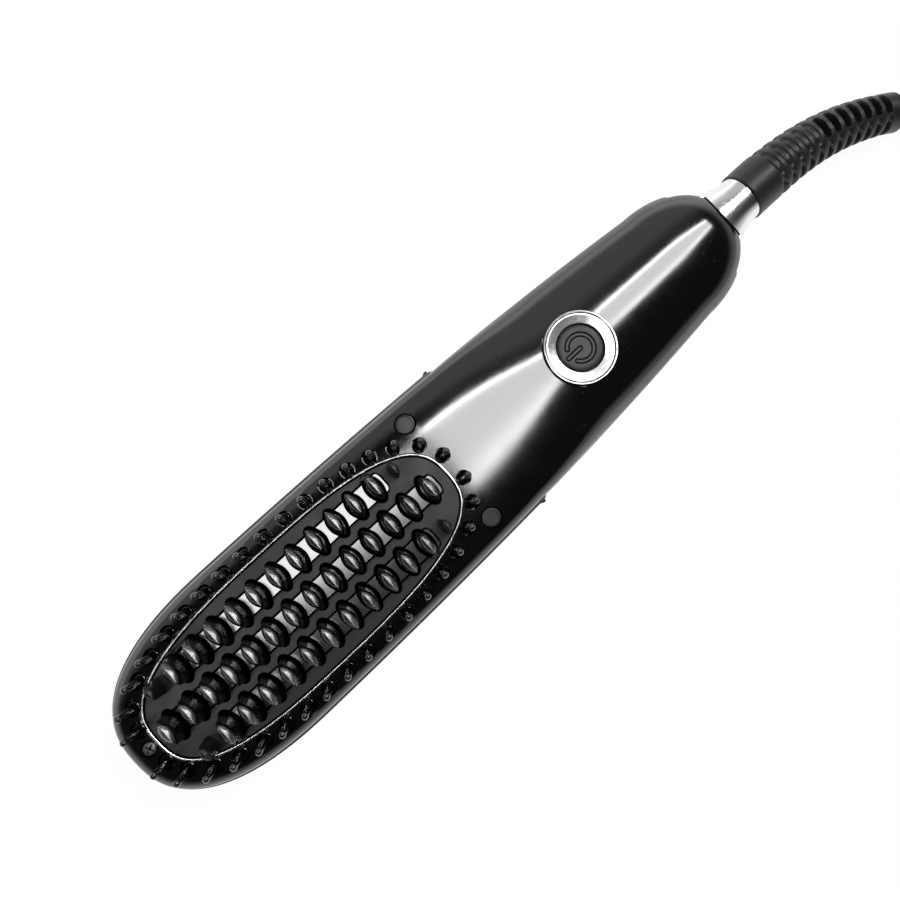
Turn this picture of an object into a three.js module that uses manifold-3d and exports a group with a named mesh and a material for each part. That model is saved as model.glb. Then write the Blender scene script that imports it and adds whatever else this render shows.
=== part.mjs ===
// Heated styling brush, in millimetres. +X runs from the brush tip to the cord, +Z out of the bristle face.
// The origin lies under the middle of the casing and its tail collar, on the surface that the back rests on.

import * as THREE from 'three';
import { mergeVertices } from 'three/addons/utils/BufferGeometryUtils.js';
import Module from 'manifold-3d';

const wasm = await Module();
wasm.setup();

// Casing, driving sizes
const CASING_LENGTH = 226.2;
const COLLAR_REACH = 7.5;
const FACE_HEIGHT = 28;
const REAR_HEIGHT = 26;
const HEAD_WIDTH = 51.2;
const NECK_WIDTH = HEAD_WIDTH - 2.8;
const TAIL_WIDTH = 37.6;
const SHELL_LEDGE = 0.8;
const WALL = 2;
const TIP_CAP = 46.7;
const REAR_CAP = 25.3;
const TIP_ROUNDNESS = 2.5;
const REAR_ROUNDNESS = 2.1;
const HEAD_CROWN = 6;
const HANDLE_CROWN = 2.5;
const INNER_CROWN_EXTRA = 2;
const BELLY_ROUNDNESS = 2.8;
const HANDLE_TAPER = 1.55;
const HEAD_EQUATOR = 17;
const TAIL_EQUATOR = 14.5;
const BELLY_SINK = 1.2;
const TAIL_RISE = 4.2;
const PARTING_HEIGHT = 20;

// Places along the casing, from its tip
const PLATE_FROM_TIP = 0.26614 * CASING_LENGTH;
const SCREW_PLUG_FROM_TIP = 0.49381 * CASING_LENGTH;
const STEP_FROM_TIP = 0.56145 * CASING_LENGTH;
const BUTTON_FROM_TIP = 0.7153 * CASING_LENGTH;
const COLLAR_FROM_TIP = CASING_LENGTH - 11.6;

// Clearances
const CLEAR = 0.3;
const HOLE_PLAY = 0.35;

// Bristle face
const OPENING_LENGTH = 0.45447 * CASING_LENGTH;
const OPENING_WIDTH = HEAD_WIDTH - 14.7;
const OPENING_ROUNDNESS = 2.8;
const OPENING_TIP_CUT = 1;
const RIM_WIDTH = 0.9;
const RIM_HEIGHT = 0.3;
const RIM_REACH = 0.75;
const PLATE_GROOVE = 1.1;
const PLATE_THICKNESS = 1.5;
const PLATE_SKIRT = 2.1;
const PLATE_SKIRT_WIDTH = 1.4;
const COMB_BASE_THICKNESS = 3;
const COMB_BASE_INSET = 0.3;
const RAIL_WIDTH = 6;
const RAIL_SINK = 0.6;
const RAIL_OVERRUN = 3.3;
const SLOT_PLAY = 0.3;
const FIN_PITCH = OPENING_LENGTH / 15.23;
const FIN_LENGTH = 0.23288 * OPENING_WIDTH;
const FIN_THICKNESS = 3.6;
const FIN_HEIGHT = 11;
const LOBE_PLAY = 0.5;
const ROW_SPACING = 0.27397 * OPENING_WIDTH;
const MIDDLE_ROW_FINS = 14;
const OUTER_ROW_FINS = 11;
const STUB_LENGTH = 5;
const STUB_THICKNESS = 2.8;

// Guard pins
const PINS_PER_SIDE = 18;
const PIN_RING_OFFSET = 2;
const PIN_TIP_HALF_GAP = 5.3;
const PIN_TIP_STEP = 5.9;
const PIN_REAR_HALF_GAP = 4.15;
const PIN_HEIGHT = 12.6;
const PIN_BALL_RADIUS = 1;
const PIN_ROOT_RADIUS = 1.85;
const PIN_STEM_RADIUS = 0.95;
const PIN_COLLAR_TOP = 0.1;
const CARRIER_THICKNESS = 1.4;
const CARRIER_WIDTH = 2.6;
const CARRIER_DEPTH = 4;

// Heater under the comb
const HEATER_LENGTH = 0.58366 * OPENING_LENGTH;
const HEATER_WIDTH = OPENING_WIDTH - 22.5;
const HEATER_THICKNESS = 3.3;
const FILM_THICKNESS = 0.4;
const CLAMP_LENGTH = HEATER_LENGTH + 14.4;
const CLAMP_WIDTH = HEATER_WIDTH - 2;
const CLAMP_THICKNESS = 1.3;
const CLAMP_SCREW_INSET = 3.2;
const CLAMP_BOSS_RADIUS = 2.3;
const COMB_SCREW_OVERRUN = FIN_PITCH + 0.75;
const COMB_SCREW_OFFSET = 0.21918 * OPENING_WIDTH;
const LEAD_OFFSET = COMB_SCREW_OFFSET - 4.2;
const FUSE_RADIUS = 1.8;
const FUSE_LENGTH = 11;
const SENSOR_LENGTH = 6;
const SENSOR_WIDTH = 3;
const SENSOR_HEIGHT = 2;
const SENSOR_OFFSET = HEATER_WIDTH / 2 + 4;

// Button and board
const BUTTON_RADIUS = 6.6;
const BUTTON_TRAVEL = 0.6;
const BUTTON_TOP_DROP = 0.3;
const BUTTON_FLANGE_RADIUS = 8;
const BUTTON_FLANGE_THICKNESS = 1;
const BUTTON_STEM_RADIUS = 1.8;
const BEZEL_RADIUS = 10.45;
const BEZEL_SEAT_DROP = 1.4;
const BEZEL_STAND = 0.3;
const BEZEL_SLEEVE_STEP = 0.75;
const BEZEL_DEPTH = 3.5;
const BOARD_LENGTH = 0.30946 * CASING_LENGTH;
const BOARD_WIDTH = 24;
const BOARD_THICKNESS = 1.6;
const BOARD_HEIGHT = 13.4;
const BOARD_FROM_BUTTON = 4;
const BOARD_SCREW_INSET = 4;
const UNDER_COVER_SPACE = 3.7;
const SWITCH_SIDE = 6;
const SWITCH_HEIGHT = 3.4;
const PLUNGER_RADIUS = 1.6;
const PLUNGER_STAND = 1.9;
const PLUNGER_DEPTH = 1.3;

// Screws and their posts
const POST_RADIUS = 3;
const SCREW_HEAD_RADIUS = 1.8;
const SCREW_HEAD_HEIGHT = 1.5;
const SCREW_SHANK_RADIUS = 1.1;
const SCREW_LENGTH = 9;
const PILOT_RADIUS = 1.4;
const PLUG_RADIUS = 2.65;
const PLUG_DISH_RADIUS = 1.8;
const PLUG_HEIGHT = 2.6;
const PLUG_DROP = 0.6;
const PLUG_OFFSET = HEAD_WIDTH / 2 - 8.5;
const BOSS_WALL = 1.1;
const BOSS_FLOOR = 1.8;
const COVER_SCREW_DEPTH = 8;
const TIP_SCREW_DROP = 1.1;
const TIP_SCREW_GAP = 1.6;
const RECESS_LENGTH = 2.2;
const RECESS_WIDTH = 0.5;
const RECESS_DEPTH = 0.8;
const RECESS_TURN = 20;

// Tail, swivel and boot
const CORD_HEIGHT = REAR_HEIGHT / 2 + 1;
const CORD_DIAMETER = 6.2;
const COLLAR_END_RADIUS = 7.2;
const COLLAR_FLARE = 1.2;
const COLLAR_BORE = 4.6;
const SPIGOT_RADIUS = 0.28462 * REAR_HEIGHT;
const SPIGOT_LENGTH = 5;
const SPIGOT_BORE = SPIGOT_RADIUS - 1.2;
const HUB_FLANGE_THICKNESS = 2.5;
const BOOT_RADIUS = 7.7;
const BOOT_END_RADIUS = 6.1;
const BOOT_SLEEVE = 9.5;
const BOOT_END_COLLAR = 4.5;
const BOOT_RIBS = 12;
const BOOT_BLIND_RIBS = 5;
const BOOT_BLIND_DEPTH = 0.7;
const BOOT_SLOT_DEPTH = 2;
const BOOT_TURN = 33;

// Cord put away in a long coil, and its plug
const COIL_FROM_BOOT = 134.35;
const COIL_ASIDE = 17;
const COIL_RADIUS = 26.9;
const COIL_STRAIGHT = 40;
const COIL_STRAIGHT_STEPS = 3;
const COIL_STEPS = 24;
const COIL_TOTAL_STEPS = 197;
const COIL_STEPS_BEFORE_STRAIGHT = 2;
const COIL_LAYERS = 4;
const COIL_PITCH = 6.7;
const COIL_LIFT = 0.15;
const COIL_SIDES = 6;
const PLUG_BODY_LENGTH = 36;
const PLUG_BODY_WIDTH = 35;
const PLUG_BODY_THICKNESS = 13.7;
const PLUG_NECK_RADIUS = 4.6;
const PLUG_NECK_LENGTH = 12;
const PLUG_PIN_RADIUS = 2;
const PLUG_PIN_LENGTH = 19;
const PLUG_PIN_SPACING = 18.6;

// Worked out from the sizes above
const OVERALL_LENGTH = CASING_LENGTH + COLLAR_REACH;
const TIP_X = -OVERALL_LENGTH / 2;
const CASING_END_X = TIP_X + CASING_LENGTH;
const COLLAR_END_X = TIP_X + OVERALL_LENGTH;
const SPINE_FRONT = TIP_X + TIP_CAP;
const SPINE_REAR = CASING_END_X - REAR_CAP;
const PLATE_X = TIP_X + PLATE_FROM_TIP;
const SCREW_PLUG_X = TIP_X + SCREW_PLUG_FROM_TIP;
const STEP_X = TIP_X + STEP_FROM_TIP;
const BUTTON_X = TIP_X + BUTTON_FROM_TIP;
const TIP_SCREW_X = PLATE_X - OPENING_LENGTH / 2 - TIP_SCREW_GAP;
const COLLAR_X = TIP_X + COLLAR_FROM_TIP;
const STEP_RUN = 1.5;
const PLATE_BOTTOM = FACE_HEIGHT - PLATE_THICKNESS;
const COMB_TOP = PLATE_BOTTOM - PLATE_SKIRT - CLEAR;
const COMB_BOTTOM = COMB_TOP - COMB_BASE_THICKNESS;
const HEATER_BOTTOM = COMB_BOTTOM - CLEAR - HEATER_THICKNESS;
const FILM_BOTTOM = HEATER_BOTTOM - CLEAR - FILM_THICKNESS;
const CLAMP_BOTTOM = FILM_BOTTOM - CLEAR - CLAMP_THICKNESS;
const BOARD_TOP = BOARD_HEIGHT + BOARD_THICKNESS;
const TALL_PART_HEIGHT = REAR_HEIGHT - BOARD_TOP - CLEAR - UNDER_COVER_SPACE;
const BOARD_X = BUTTON_X + BOARD_FROM_BUTTON;
const SWITCH_BOTTOM = BOARD_TOP + CLEAR;
const SWITCH_TOP = SWITCH_BOTTOM + SWITCH_HEIGHT;
const PLUNGER_TOP = SWITCH_TOP + PLUNGER_STAND;
const BEZEL_SEAT = FACE_HEIGHT - BEZEL_SEAT_DROP;
const BEZEL_TOP = FACE_HEIGHT + BEZEL_STAND;
const BEZEL_BOTTOM = FACE_HEIGHT - BEZEL_DEPTH;
const BUTTON_TOP = FACE_HEIGHT - BUTTON_TOP_DROP;
const FLANGE_TOP = BEZEL_BOTTOM - CLEAR;
const OUTER_ROW_REACH = ((OUTER_ROW_FINS - 1) / 2) * FIN_PITCH;
const COMB_SCREW_X = OUTER_ROW_REACH + COMB_SCREW_OVERRUN;
const CLAMP_SCREW_X = CLAMP_LENGTH / 2 - CLAMP_SCREW_INSET;
const BOARD_SCREW_X = BOARD_LENGTH / 2 - BOARD_SCREW_INSET;
const BOSS_FLOOR_BOTTOM = FACE_HEIGHT - COVER_SCREW_DEPTH - BOSS_FLOOR;

const FAR = 400;
const ROUND_STEPS = 20;
const FINE_STEPS = 32;
const OUTLINE_STEPS = 40;

const FINISH = {
  gloss: { color: 0x0a0a0b, roughness: 0.12, metalness: 0 },
  satin: { color: 0x1c1c1d, roughness: 0.5, metalness: 0 },
  matte: { color: 0x242425, roughness: 0.65, metalness: 0 },
  pin: { color: 0x0d0d0e, roughness: 0.3, metalness: 0 },
  comb: { color: 0x1a1a1c, roughness: 0.2, metalness: 0.6 },
  chrome: { color: 0xe4e6e8, roughness: 0.08, metalness: 1 },
  steel: { color: 0x9a9da1, roughness: 0.35, metalness: 1 },
  brass: { color: 0xb99a55, roughness: 0.3, metalness: 1 },
  ceramic: { color: 0xd9d5cb, roughness: 0.6, metalness: 0 },
  film: { color: 0xa8772c, roughness: 0.4, metalness: 0 },
  board: { color: 0x1f5a3a, roughness: 0.5, metalness: 0 },
  rubber: { color: 0x161617, roughness: 0.7, metalness: 0 },
  red: { color: 0x8c1f1a, roughness: 0.6, metalness: 0 },
  blue: { color: 0x1e3f7a, roughness: 0.6, metalness: 0 },
  white: { color: 0xdcdcd6, roughness: 0.5, metalness: 0 },
};

const brush = new THREE.Group();

// Solids and joining

function signedVolume(position, triangles) {
  const a = new THREE.Vector3();
  const b = new THREE.Vector3();
  const c = new THREE.Vector3();
  let six = 0;
  for (const [i, j, k] of triangles) {
    a.fromBufferAttribute(position, i);
    b.fromBufferAttribute(position, j);
    c.fromBufferAttribute(position, k);
    six += a.dot(b.cross(c));
  }
  return six / 6;
}

function toSolid(geometry) {
  const bare = new THREE.BufferGeometry();
  bare.setAttribute('position', geometry.getAttribute('position'));
  bare.setIndex(geometry.index);
  const merged = mergeVertices(bare, 1e-4);
  const position = merged.getAttribute('position');
  const index = merged.index.array;
  const triangles = [];
  for (let i = 0; i < index.length; i += 3) {
    const [a, b, c] = [index[i], index[i + 1], index[i + 2]];
    if (a !== b && b !== c && a !== c) triangles.push([a, b, c]);
  }
  const inward = signedVolume(position, triangles) < 0;
  const ordered = inward ? triangles.map(([a, b, c]) => [a, c, b]) : triangles;
  const mesh = new wasm.Mesh({
    numProp: 3,
    vertProperties: new Float32Array(position.array),
    triVerts: new Uint32Array(ordered.flat()),
  });
  return new wasm.Manifold(mesh);
}

function toGeometry(solid) {
  const mesh = solid.getMesh();
  const geometry = new THREE.BufferGeometry();
  geometry.setAttribute('position', new THREE.BufferAttribute(new Float32Array(mesh.vertProperties), 3));
  geometry.setIndex(new THREE.BufferAttribute(new Uint32Array(mesh.triVerts), 1));
  geometry.computeVertexNormals();
  return geometry;
}

function join(first, ...rest) {
  return rest.reduce((whole, piece) => whole.add(piece), first);
}

function cut(first, ...rest) {
  return rest.reduce((whole, piece) => whole.subtract(piece), first);
}

function mainBody(solid) {
  return solid.decompose().sort((a, b) => b.volume() - a.volume())[0];
}

function addPiece(group, name, solid, finish, place = [0, 0, 0]) {
  const mesh = new THREE.Mesh(toGeometry(solid), new THREE.MeshStandardMaterial(finish));
  mesh.name = name;
  mesh.position.set(...place);
  group.add(mesh);
  return mesh;
}

// Basic forms

function block(x0, x1, y0, y1, z0, z1) {
  const box = new THREE.BoxGeometry(x1 - x0, y1 - y0, z1 - z0);
  return toSolid(box.translate((x0 + x1) / 2, (y0 + y1) / 2, (z0 + z1) / 2));
}

function turned(profile, steps = ROUND_STEPS) {
  const points = profile.map(([radius, height]) => new THREE.Vector2(radius, height));
  return toSolid(new THREE.LatheGeometry(points, steps).rotateX(Math.PI / 2));
}

function turnedAlongX(profile, steps = ROUND_STEPS) {
  const points = profile.map(([along, radius]) => new THREE.Vector2(radius, along));
  return toSolid(new THREE.LatheGeometry(points, steps).rotateZ(-Math.PI / 2));
}

function rod(radius, z0, z1, x = 0, y = 0, steps = ROUND_STEPS) {
  const solid = turned([[0, z0], [radius, z0], [radius, z1], [0, z1]], steps);
  return solid.translate([x, y, 0]);
}

function prism(shape, z0, z1) {
  const geometry = new THREE.ExtrudeGeometry(shape, { depth: z1 - z0, bevelEnabled: false });
  return toSolid(geometry.translate(0, 0, z0));
}

function tube(points, radius, sides, steps) {
  const section = new THREE.Shape(
    Array.from({ length: sides }, (_, i) => {
      const angle = (i / sides) * 2 * Math.PI;
      return new THREE.Vector2(radius * Math.cos(angle), radius * Math.sin(angle));
    }),
  );
  const path = new THREE.CatmullRomCurve3(points.map((p) => new THREE.Vector3(...p)));
  return toSolid(new THREE.ExtrudeGeometry(section, { steps, extrudePath: path, bevelEnabled: false }));
}

function loft(rings) {
  const size = rings[0].length;
  const points = rings.flat();
  const index = [];
  for (let r = 0; r + 1 < rings.length; r += 1) {
    for (let i = 0; i < size; i += 1) {
      const j = (i + 1) % size;
      const [a, b, c, d] = [r * size + i, r * size + j, (r + 1) * size + j, (r + 1) * size + i];
      index.push(a, b, c, a, c, d);
    }
  }
  const ends = [[rings[0], 0, false], [rings[rings.length - 1], (rings.length - 1) * size, true]];
  for (const [ring, start, last] of ends) {
    const middle = ring.reduce((sum, p) => sum.add(p), new THREE.Vector3()).divideScalar(size);
    const centre = points.push(middle) - 1;
    for (let i = 0; i < size; i += 1) {
      const [a, b] = [start + i, start + ((i + 1) % size)];
      index.push(...(last ? [a, b, centre] : [b, a, centre]));
    }
  }
  return toSolid(new THREE.BufferGeometry().setFromPoints(points).setIndex(index));
}

function superPower(value, roundness) {
  return Math.sign(value) * Math.abs(value) ** (2 / roundness);
}

function ovalPoints(length, width, steps = OUTLINE_STEPS) {
  return Array.from({ length: steps }, (_, i) => {
    const angle = (i / steps) * 2 * Math.PI;
    const reach = length / 2 - (Math.cos(angle) < 0 ? OPENING_TIP_CUT : 0);
    const x = reach * superPower(Math.cos(angle), OPENING_ROUNDNESS);
    const y = (width / 2) * superPower(Math.sin(angle), OPENING_ROUNDNESS);
    return new THREE.Vector2(PLATE_X + x, y);
  });
}

function ovalPrism(growth, z0, z1) {
  const points = ovalPoints(OPENING_LENGTH + 2 * growth, OPENING_WIDTH + 2 * growth);
  return prism(new THREE.Shape(points), z0, z1);
}

function ovalRing(outerGrowth, innerGrowth, z0, z1) {
  return cut(ovalPrism(outerGrowth, z0, z1), ovalPrism(innerGrowth, z0 - 1, z1 + 1));
}

// Casing form: level rings round a spine, flat on the face of the head and round over the handle

function blend(x, from, to) {
  return THREE.MathUtils.smoothstep(x, from, to);
}

function halfWidthAt(x) {
  if (x <= STEP_X) {
    const along = (x - SPINE_FRONT) / (STEP_X - SPINE_FRONT);
    return HEAD_WIDTH / 2 - ((HEAD_WIDTH - NECK_WIDTH) / 2) * along ** 2;
  }
  const front = NECK_WIDTH / 2 - SHELL_LEDGE;
  const along = Math.max(0, (x - STEP_X - STEP_RUN) / (SPINE_REAR - STEP_X - STEP_RUN));
  return front - (front - TAIL_WIDTH / 2) * along ** HANDLE_TAPER;
}

function topAt(x) {
  return THREE.MathUtils.lerp(FACE_HEIGHT, REAR_HEIGHT, blend(x, SCREW_PLUG_X, SPINE_REAR));
}

function equatorAt(x) {
  const along = (x - SPINE_FRONT) / (SPINE_REAR - SPINE_FRONT);
  return THREE.MathUtils.lerp(HEAD_EQUATOR, TAIL_EQUATOR, along);
}

function bottomAt(x) {
  return -BELLY_SINK + TAIL_RISE * blend(x, BUTTON_X, SPINE_REAR);
}

function crownAt(x) {
  return THREE.MathUtils.lerp(HEAD_CROWN, HANDLE_CROWN, blend(x, SCREW_PLUG_X, BUTTON_X));
}

function capPoint(foot, reach, width, roundness, angle) {
  const x = foot + reach * Math.cos(angle) ** (2 / roundness);
  return { foot, x, y: width * Math.sin(angle) ** (2 / roundness) };
}

function halfOutline(inset, ledge, capSteps, sideSteps) {
  const points = [];
  const front = halfWidthAt(SPINE_FRONT) - inset - ledge;
  for (let i = 0; i < capSteps; i += 1) {
    const angle = (i / capSteps) * (Math.PI / 2);
    points.push(capPoint(SPINE_FRONT, -(TIP_CAP - inset - ledge), front, TIP_ROUNDNESS, angle));
  }
  for (let i = 0; i <= sideSteps; i += 1) {
    const x = THREE.MathUtils.lerp(SPINE_FRONT, STEP_X, i / sideSteps);
    points.push({ foot: x, x, y: halfWidthAt(x) - inset - ledge });
  }
  for (let i = 0; i < sideSteps; i += 1) {
    const x = THREE.MathUtils.lerp(STEP_X + STEP_RUN, SPINE_REAR, i / sideSteps);
    points.push({ foot: x, x, y: halfWidthAt(x) - inset });
  }
  const rear = halfWidthAt(SPINE_REAR) - inset;
  for (let i = capSteps; i >= 0; i -= 1) {
    const angle = (i / capSteps) * (Math.PI / 2);
    points.push(capPoint(SPINE_REAR, REAR_CAP - inset, rear, REAR_ROUNDNESS, angle));
  }
  return points;
}

function casingPoint(place, side, degrees, inset, crownExtra) {
  const angle = THREE.MathUtils.degToRad(Math.abs(degrees));
  const roundness = degrees < 0 ? BELLY_ROUNDNESS : crownAt(place.foot) + crownExtra;
  const outward = degrees === 90 || degrees === -90 ? 0 : Math.cos(angle) ** (2 / roundness);
  const upward = Math.sin(angle) ** (2 / roundness);
  const equator = equatorAt(place.foot);
  const limit = degrees < 0 ? bottomAt(place.foot) + inset : topAt(place.foot) - inset;
  const x = place.foot + (place.x - place.foot) * outward;
  const z = equator + (limit - equator) * upward;
  return new THREE.Vector3(x, side * place.y * outward, inset > 0 ? Math.max(z, inset) : z);
}

const OUTER_LEVELS = [90, 74, 57, 41, 25, 11, 0, -16, -36, -58, -90];
const INNER_LEVELS = [90, 60, 32, 12, 0, -28, -58, -90];

function casingForm({ inset = 0, ledge = 0, crownExtra = 0, capSteps = 9, sideSteps = 6 } = {}) {
  const half = halfOutline(inset, ledge, capSteps, sideSteps);
  const levels = inset > 0 ? INNER_LEVELS : OUTER_LEVELS;
  const rings = levels.map((degrees) => [
    ...half.map((place) => casingPoint(place, 1, degrees, inset, crownExtra)),
    ...half.slice(1, -1).reverse().map((place) => casingPoint(place, -1, degrees, inset, crownExtra)),
  ]);
  const size = rings[0].length;
  const index = [];
  for (let r = 0; r + 1 < rings.length; r += 1) {
    for (let i = 0; i < size; i += 1) {
      const j = (i + 1) % size;
      index.push(r * size + i, r * size + j, (r + 1) * size + j);
      index.push(r * size + i, (r + 1) * size + j, (r + 1) * size + i);
    }
  }
  return toSolid(new THREE.BufferGeometry().setFromPoints(rings.flat()).setIndex(index));
}

function screwPost(x, y, top, radius = POST_RADIUS) {
  return rod(radius, WALL / 2, top, x, y, 12);
}

function pilotHole(x, y, top) {
  return rod(PILOT_RADIUS, top - SCREW_LENGTH, top + 1, x, y, 8);
}

const combScrewPlaces = [-1, 1].flatMap((end) =>
  [-1, 1].map((side) => [PLATE_X + end * COMB_SCREW_X, side * COMB_SCREW_OFFSET]),
);
const boardScrewPlaces = [-1, 1].map((end) => [BOARD_X + end * BOARD_SCREW_X, 0]);
const coverScrewPlaces = [1, -1].map((side) => [SCREW_PLUG_X, side * PLUG_OFFSET]);
const TIP_HEAD_TOP = FACE_HEIGHT - TIP_SCREW_DROP;
const TIP_POST_TOP = TIP_HEAD_TOP - SCREW_HEAD_HEIGHT - WALL - CLEAR;
const COVER_POST_TOP = BOSS_FLOOR_BOTTOM - CLEAR;

function lowerShell() {
  const outer = casingForm();
  const cavity = casingForm({ inset: WALL, crownExtra: INNER_CROWN_EXTRA, capSteps: 6, sideSteps: 3 });
  const posts = [
    ...combScrewPlaces.map(([x, y]) => [x, y, COMB_BOTTOM - CLEAR]),
    ...boardScrewPlaces.map(([x, y]) => [x, y, BOARD_HEIGHT - CLEAR]),
    ...coverScrewPlaces.map(([x, y]) => [x, y, COVER_POST_TOP]),
    [TIP_SCREW_X, 0, TIP_POST_TOP],
  ];
  const flatStrip = block(-FAR, FAR, -FAR, FAR, -FAR, 0);
  const walls = cut(outer, cavity, flatStrip);
  const inside = join(...posts.map(([x, y, top]) => screwPost(x, y, top))).intersect(outer);
  const pilots = posts.map(([x, y, top]) => pilotHole(x, y, top));
  const kept = block(-FAR, COLLAR_X - CLEAR, -FAR, FAR, -FAR, PARTING_HEIGHT - CLEAR / 2);
  const whole = cut(join(walls, inside), ...pilots);
  return mainBody(join(whole.intersect(join(kept, postZone(posts))), ...stepNubs()));
}

function postZone(posts) {
  const rods = posts.map(([x, y, top]) => rod(POST_RADIUS + 1, 0, top + 1, x, y, 12));
  return join(...rods);
}

function stepNubs() {
  const [length, reach, height] = [2.2, 0.7, 5];
  const width = halfWidthAt(STEP_X);
  const z0 = HEAD_EQUATOR - height / 2;
  return [1, -1].map((side) => {
    const [y0, y1] = [side * (width - 1.2), side * (width + reach)].sort((a, b) => a - b);
    return block(STEP_X - length, STEP_X, y0, y1, z0, z0 + height);
  });
}

// Guard pins stand at equal steps along an oval round the opening

function pinPlaces() {
  const a = OPENING_LENGTH / 2 + PIN_RING_OFFSET;
  const b = OPENING_WIDTH / 2 + PIN_RING_OFFSET;
  const samples = 400;
  const points = Array.from({ length: samples + 1 }, (_, i) => {
    const angle = Math.PI * (1 - i / samples);
    const reach = a - (Math.cos(angle) < 0 ? OPENING_TIP_CUT : 0);
    const x = reach * superPower(Math.cos(angle), OPENING_ROUNDNESS);
    return new THREE.Vector2(PLATE_X + x, b * superPower(Math.abs(Math.sin(angle)), OPENING_ROUNDNESS));
  });
  const lengths = [0];
  for (let i = 1; i < points.length; i += 1) lengths.push(lengths[i - 1] + points[i].distanceTo(points[i - 1]));
  const total = lengths[samples];
  const second = PIN_TIP_HALF_GAP + PIN_TIP_STEP;
  const step = (total - second - PIN_REAR_HALF_GAP) / (PINS_PER_SIDE - 2);
  const half = Array.from({ length: PINS_PER_SIDE }, (_, i) => {
    const wanted = i === 0 ? PIN_TIP_HALF_GAP : second + (i - 1) * step;
    return points[lengths.findIndex((length) => length >= wanted)];
  });
  return [1, -1].flatMap((side) => half.map((p) => [p.x, side * p.y]));
}

function guardPinRing() {
  const carrierTop = FACE_HEIGHT - CARRIER_DEPTH;
  const inner = PIN_RING_OFFSET - CARRIER_WIDTH / 2;
  const ring = ovalRing(inner + CARRIER_WIDTH, inner, carrierTop - CARRIER_THICKNESS, carrierTop);
  const bossSpace = PLUG_RADIUS + HOLE_PLAY + BOSS_WALL + CLEAR;
  const carrier = cut(
    ring,
    block(-FAR, PLATE_X, -PIN_TIP_HALF_GAP + 1.8, PIN_TIP_HALF_GAP - 1.8, 0, FAR),
    ...coverScrewPlaces.map(([x, y]) => rod(bossSpace, 0, FAR, x, y, 16)),
  );
  const collarTop = FACE_HEIGHT + PIN_COLLAR_TOP;
  const ball = FACE_HEIGHT + PIN_HEIGHT - PIN_BALL_RADIUS;
  const pin = turned(
    [
      [0, carrierTop - CARRIER_THICKNESS / 2],
      [PIN_ROOT_RADIUS, carrierTop - CARRIER_THICKNESS / 2],
      [PIN_ROOT_RADIUS, collarTop],
      [PIN_STEM_RADIUS, collarTop + 0.3],
      [PIN_BALL_RADIUS, ball],
      [0, ball + PIN_BALL_RADIUS],
    ],
    8,
  );
  return join(carrier, ...pinPlaces().map(([x, y]) => pin.translate([x, y, 0])));
}

function topCover() {
  const outer = casingForm({ ledge: SHELL_LEDGE });
  const cavity = casingForm({
    inset: WALL,
    ledge: SHELL_LEDGE,
    crownExtra: INNER_CROWN_EXTRA,
    capSteps: 6,
    sideSteps: 3,
  });
  const kept = block(-FAR, FAR, -FAR, FAR, PARTING_HEIGHT + CLEAR / 2, FAR);
  const shell = cut(outer, cavity).intersect(kept);
  const rim = ovalRing(RIM_WIDTH - RIM_REACH, -RIM_REACH, FACE_HEIGHT - WALL, FACE_HEIGHT + RIM_HEIGHT);
  const bossRadius = PLUG_RADIUS + HOLE_PLAY + BOSS_WALL;
  const bosses = coverScrewPlaces.map(([x, y]) => rod(bossRadius, BOSS_FLOOR_BOTTOM, FACE_HEIGHT - WALL, x, y));
  const tipBoss = rod(POST_RADIUS, TIP_POST_TOP + CLEAR, FACE_HEIGHT - WALL, TIP_SCREW_X, 0);
  const body = join(shell, rim, ...bosses.map((boss) => boss.intersect(outer)), tipBoss.intersect(outer));
  const holes = [
    ovalPrism(-RIM_REACH, 0, FAR),
    ...pinPlaces().map(([x, y]) => rod(PIN_ROOT_RADIUS + HOLE_PLAY, 0, FAR, x, y, 8)),
    ...coverScrewPlaces.flatMap(([x, y]) => [
      rod(PLUG_RADIUS + HOLE_PLAY, BOSS_FLOOR_BOTTOM + BOSS_FLOOR, FAR, x, y),
      rod(PILOT_RADIUS + 0.1, 0, FAR, x, y, 8),
    ]),
    rod(SCREW_HEAD_RADIUS + CLEAR, TIP_HEAD_TOP - SCREW_HEAD_HEIGHT - CLEAR, FAR, TIP_SCREW_X, 0, 16),
    rod(PILOT_RADIUS + 0.1, 0, FAR, TIP_SCREW_X, 0, 8),
    rod(BEZEL_RADIUS + CLEAR, BEZEL_SEAT, FAR, BUTTON_X, 0, FINE_STEPS),
    rod(BEZEL_RADIUS - BEZEL_SLEEVE_STEP + CLEAR, 0, FAR, BUTTON_X, 0, FINE_STEPS),
  ];
  return cut(body, ...holes);
}

// Bristle face: a plate with scalloped slots, and the metal comb that stands through them

function finPlaces(count) {
  return Array.from({ length: count }, (_, i) => PLATE_X + (i - (count - 1) / 2) * FIN_PITCH);
}

const rows = [
  { y: 0, fins: finPlaces(MIDDLE_ROW_FINS) },
  { y: ROW_SPACING, fins: finPlaces(OUTER_ROW_FINS) },
  { y: -ROW_SPACING, fins: finPlaces(OUTER_ROW_FINS) },
];

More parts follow.
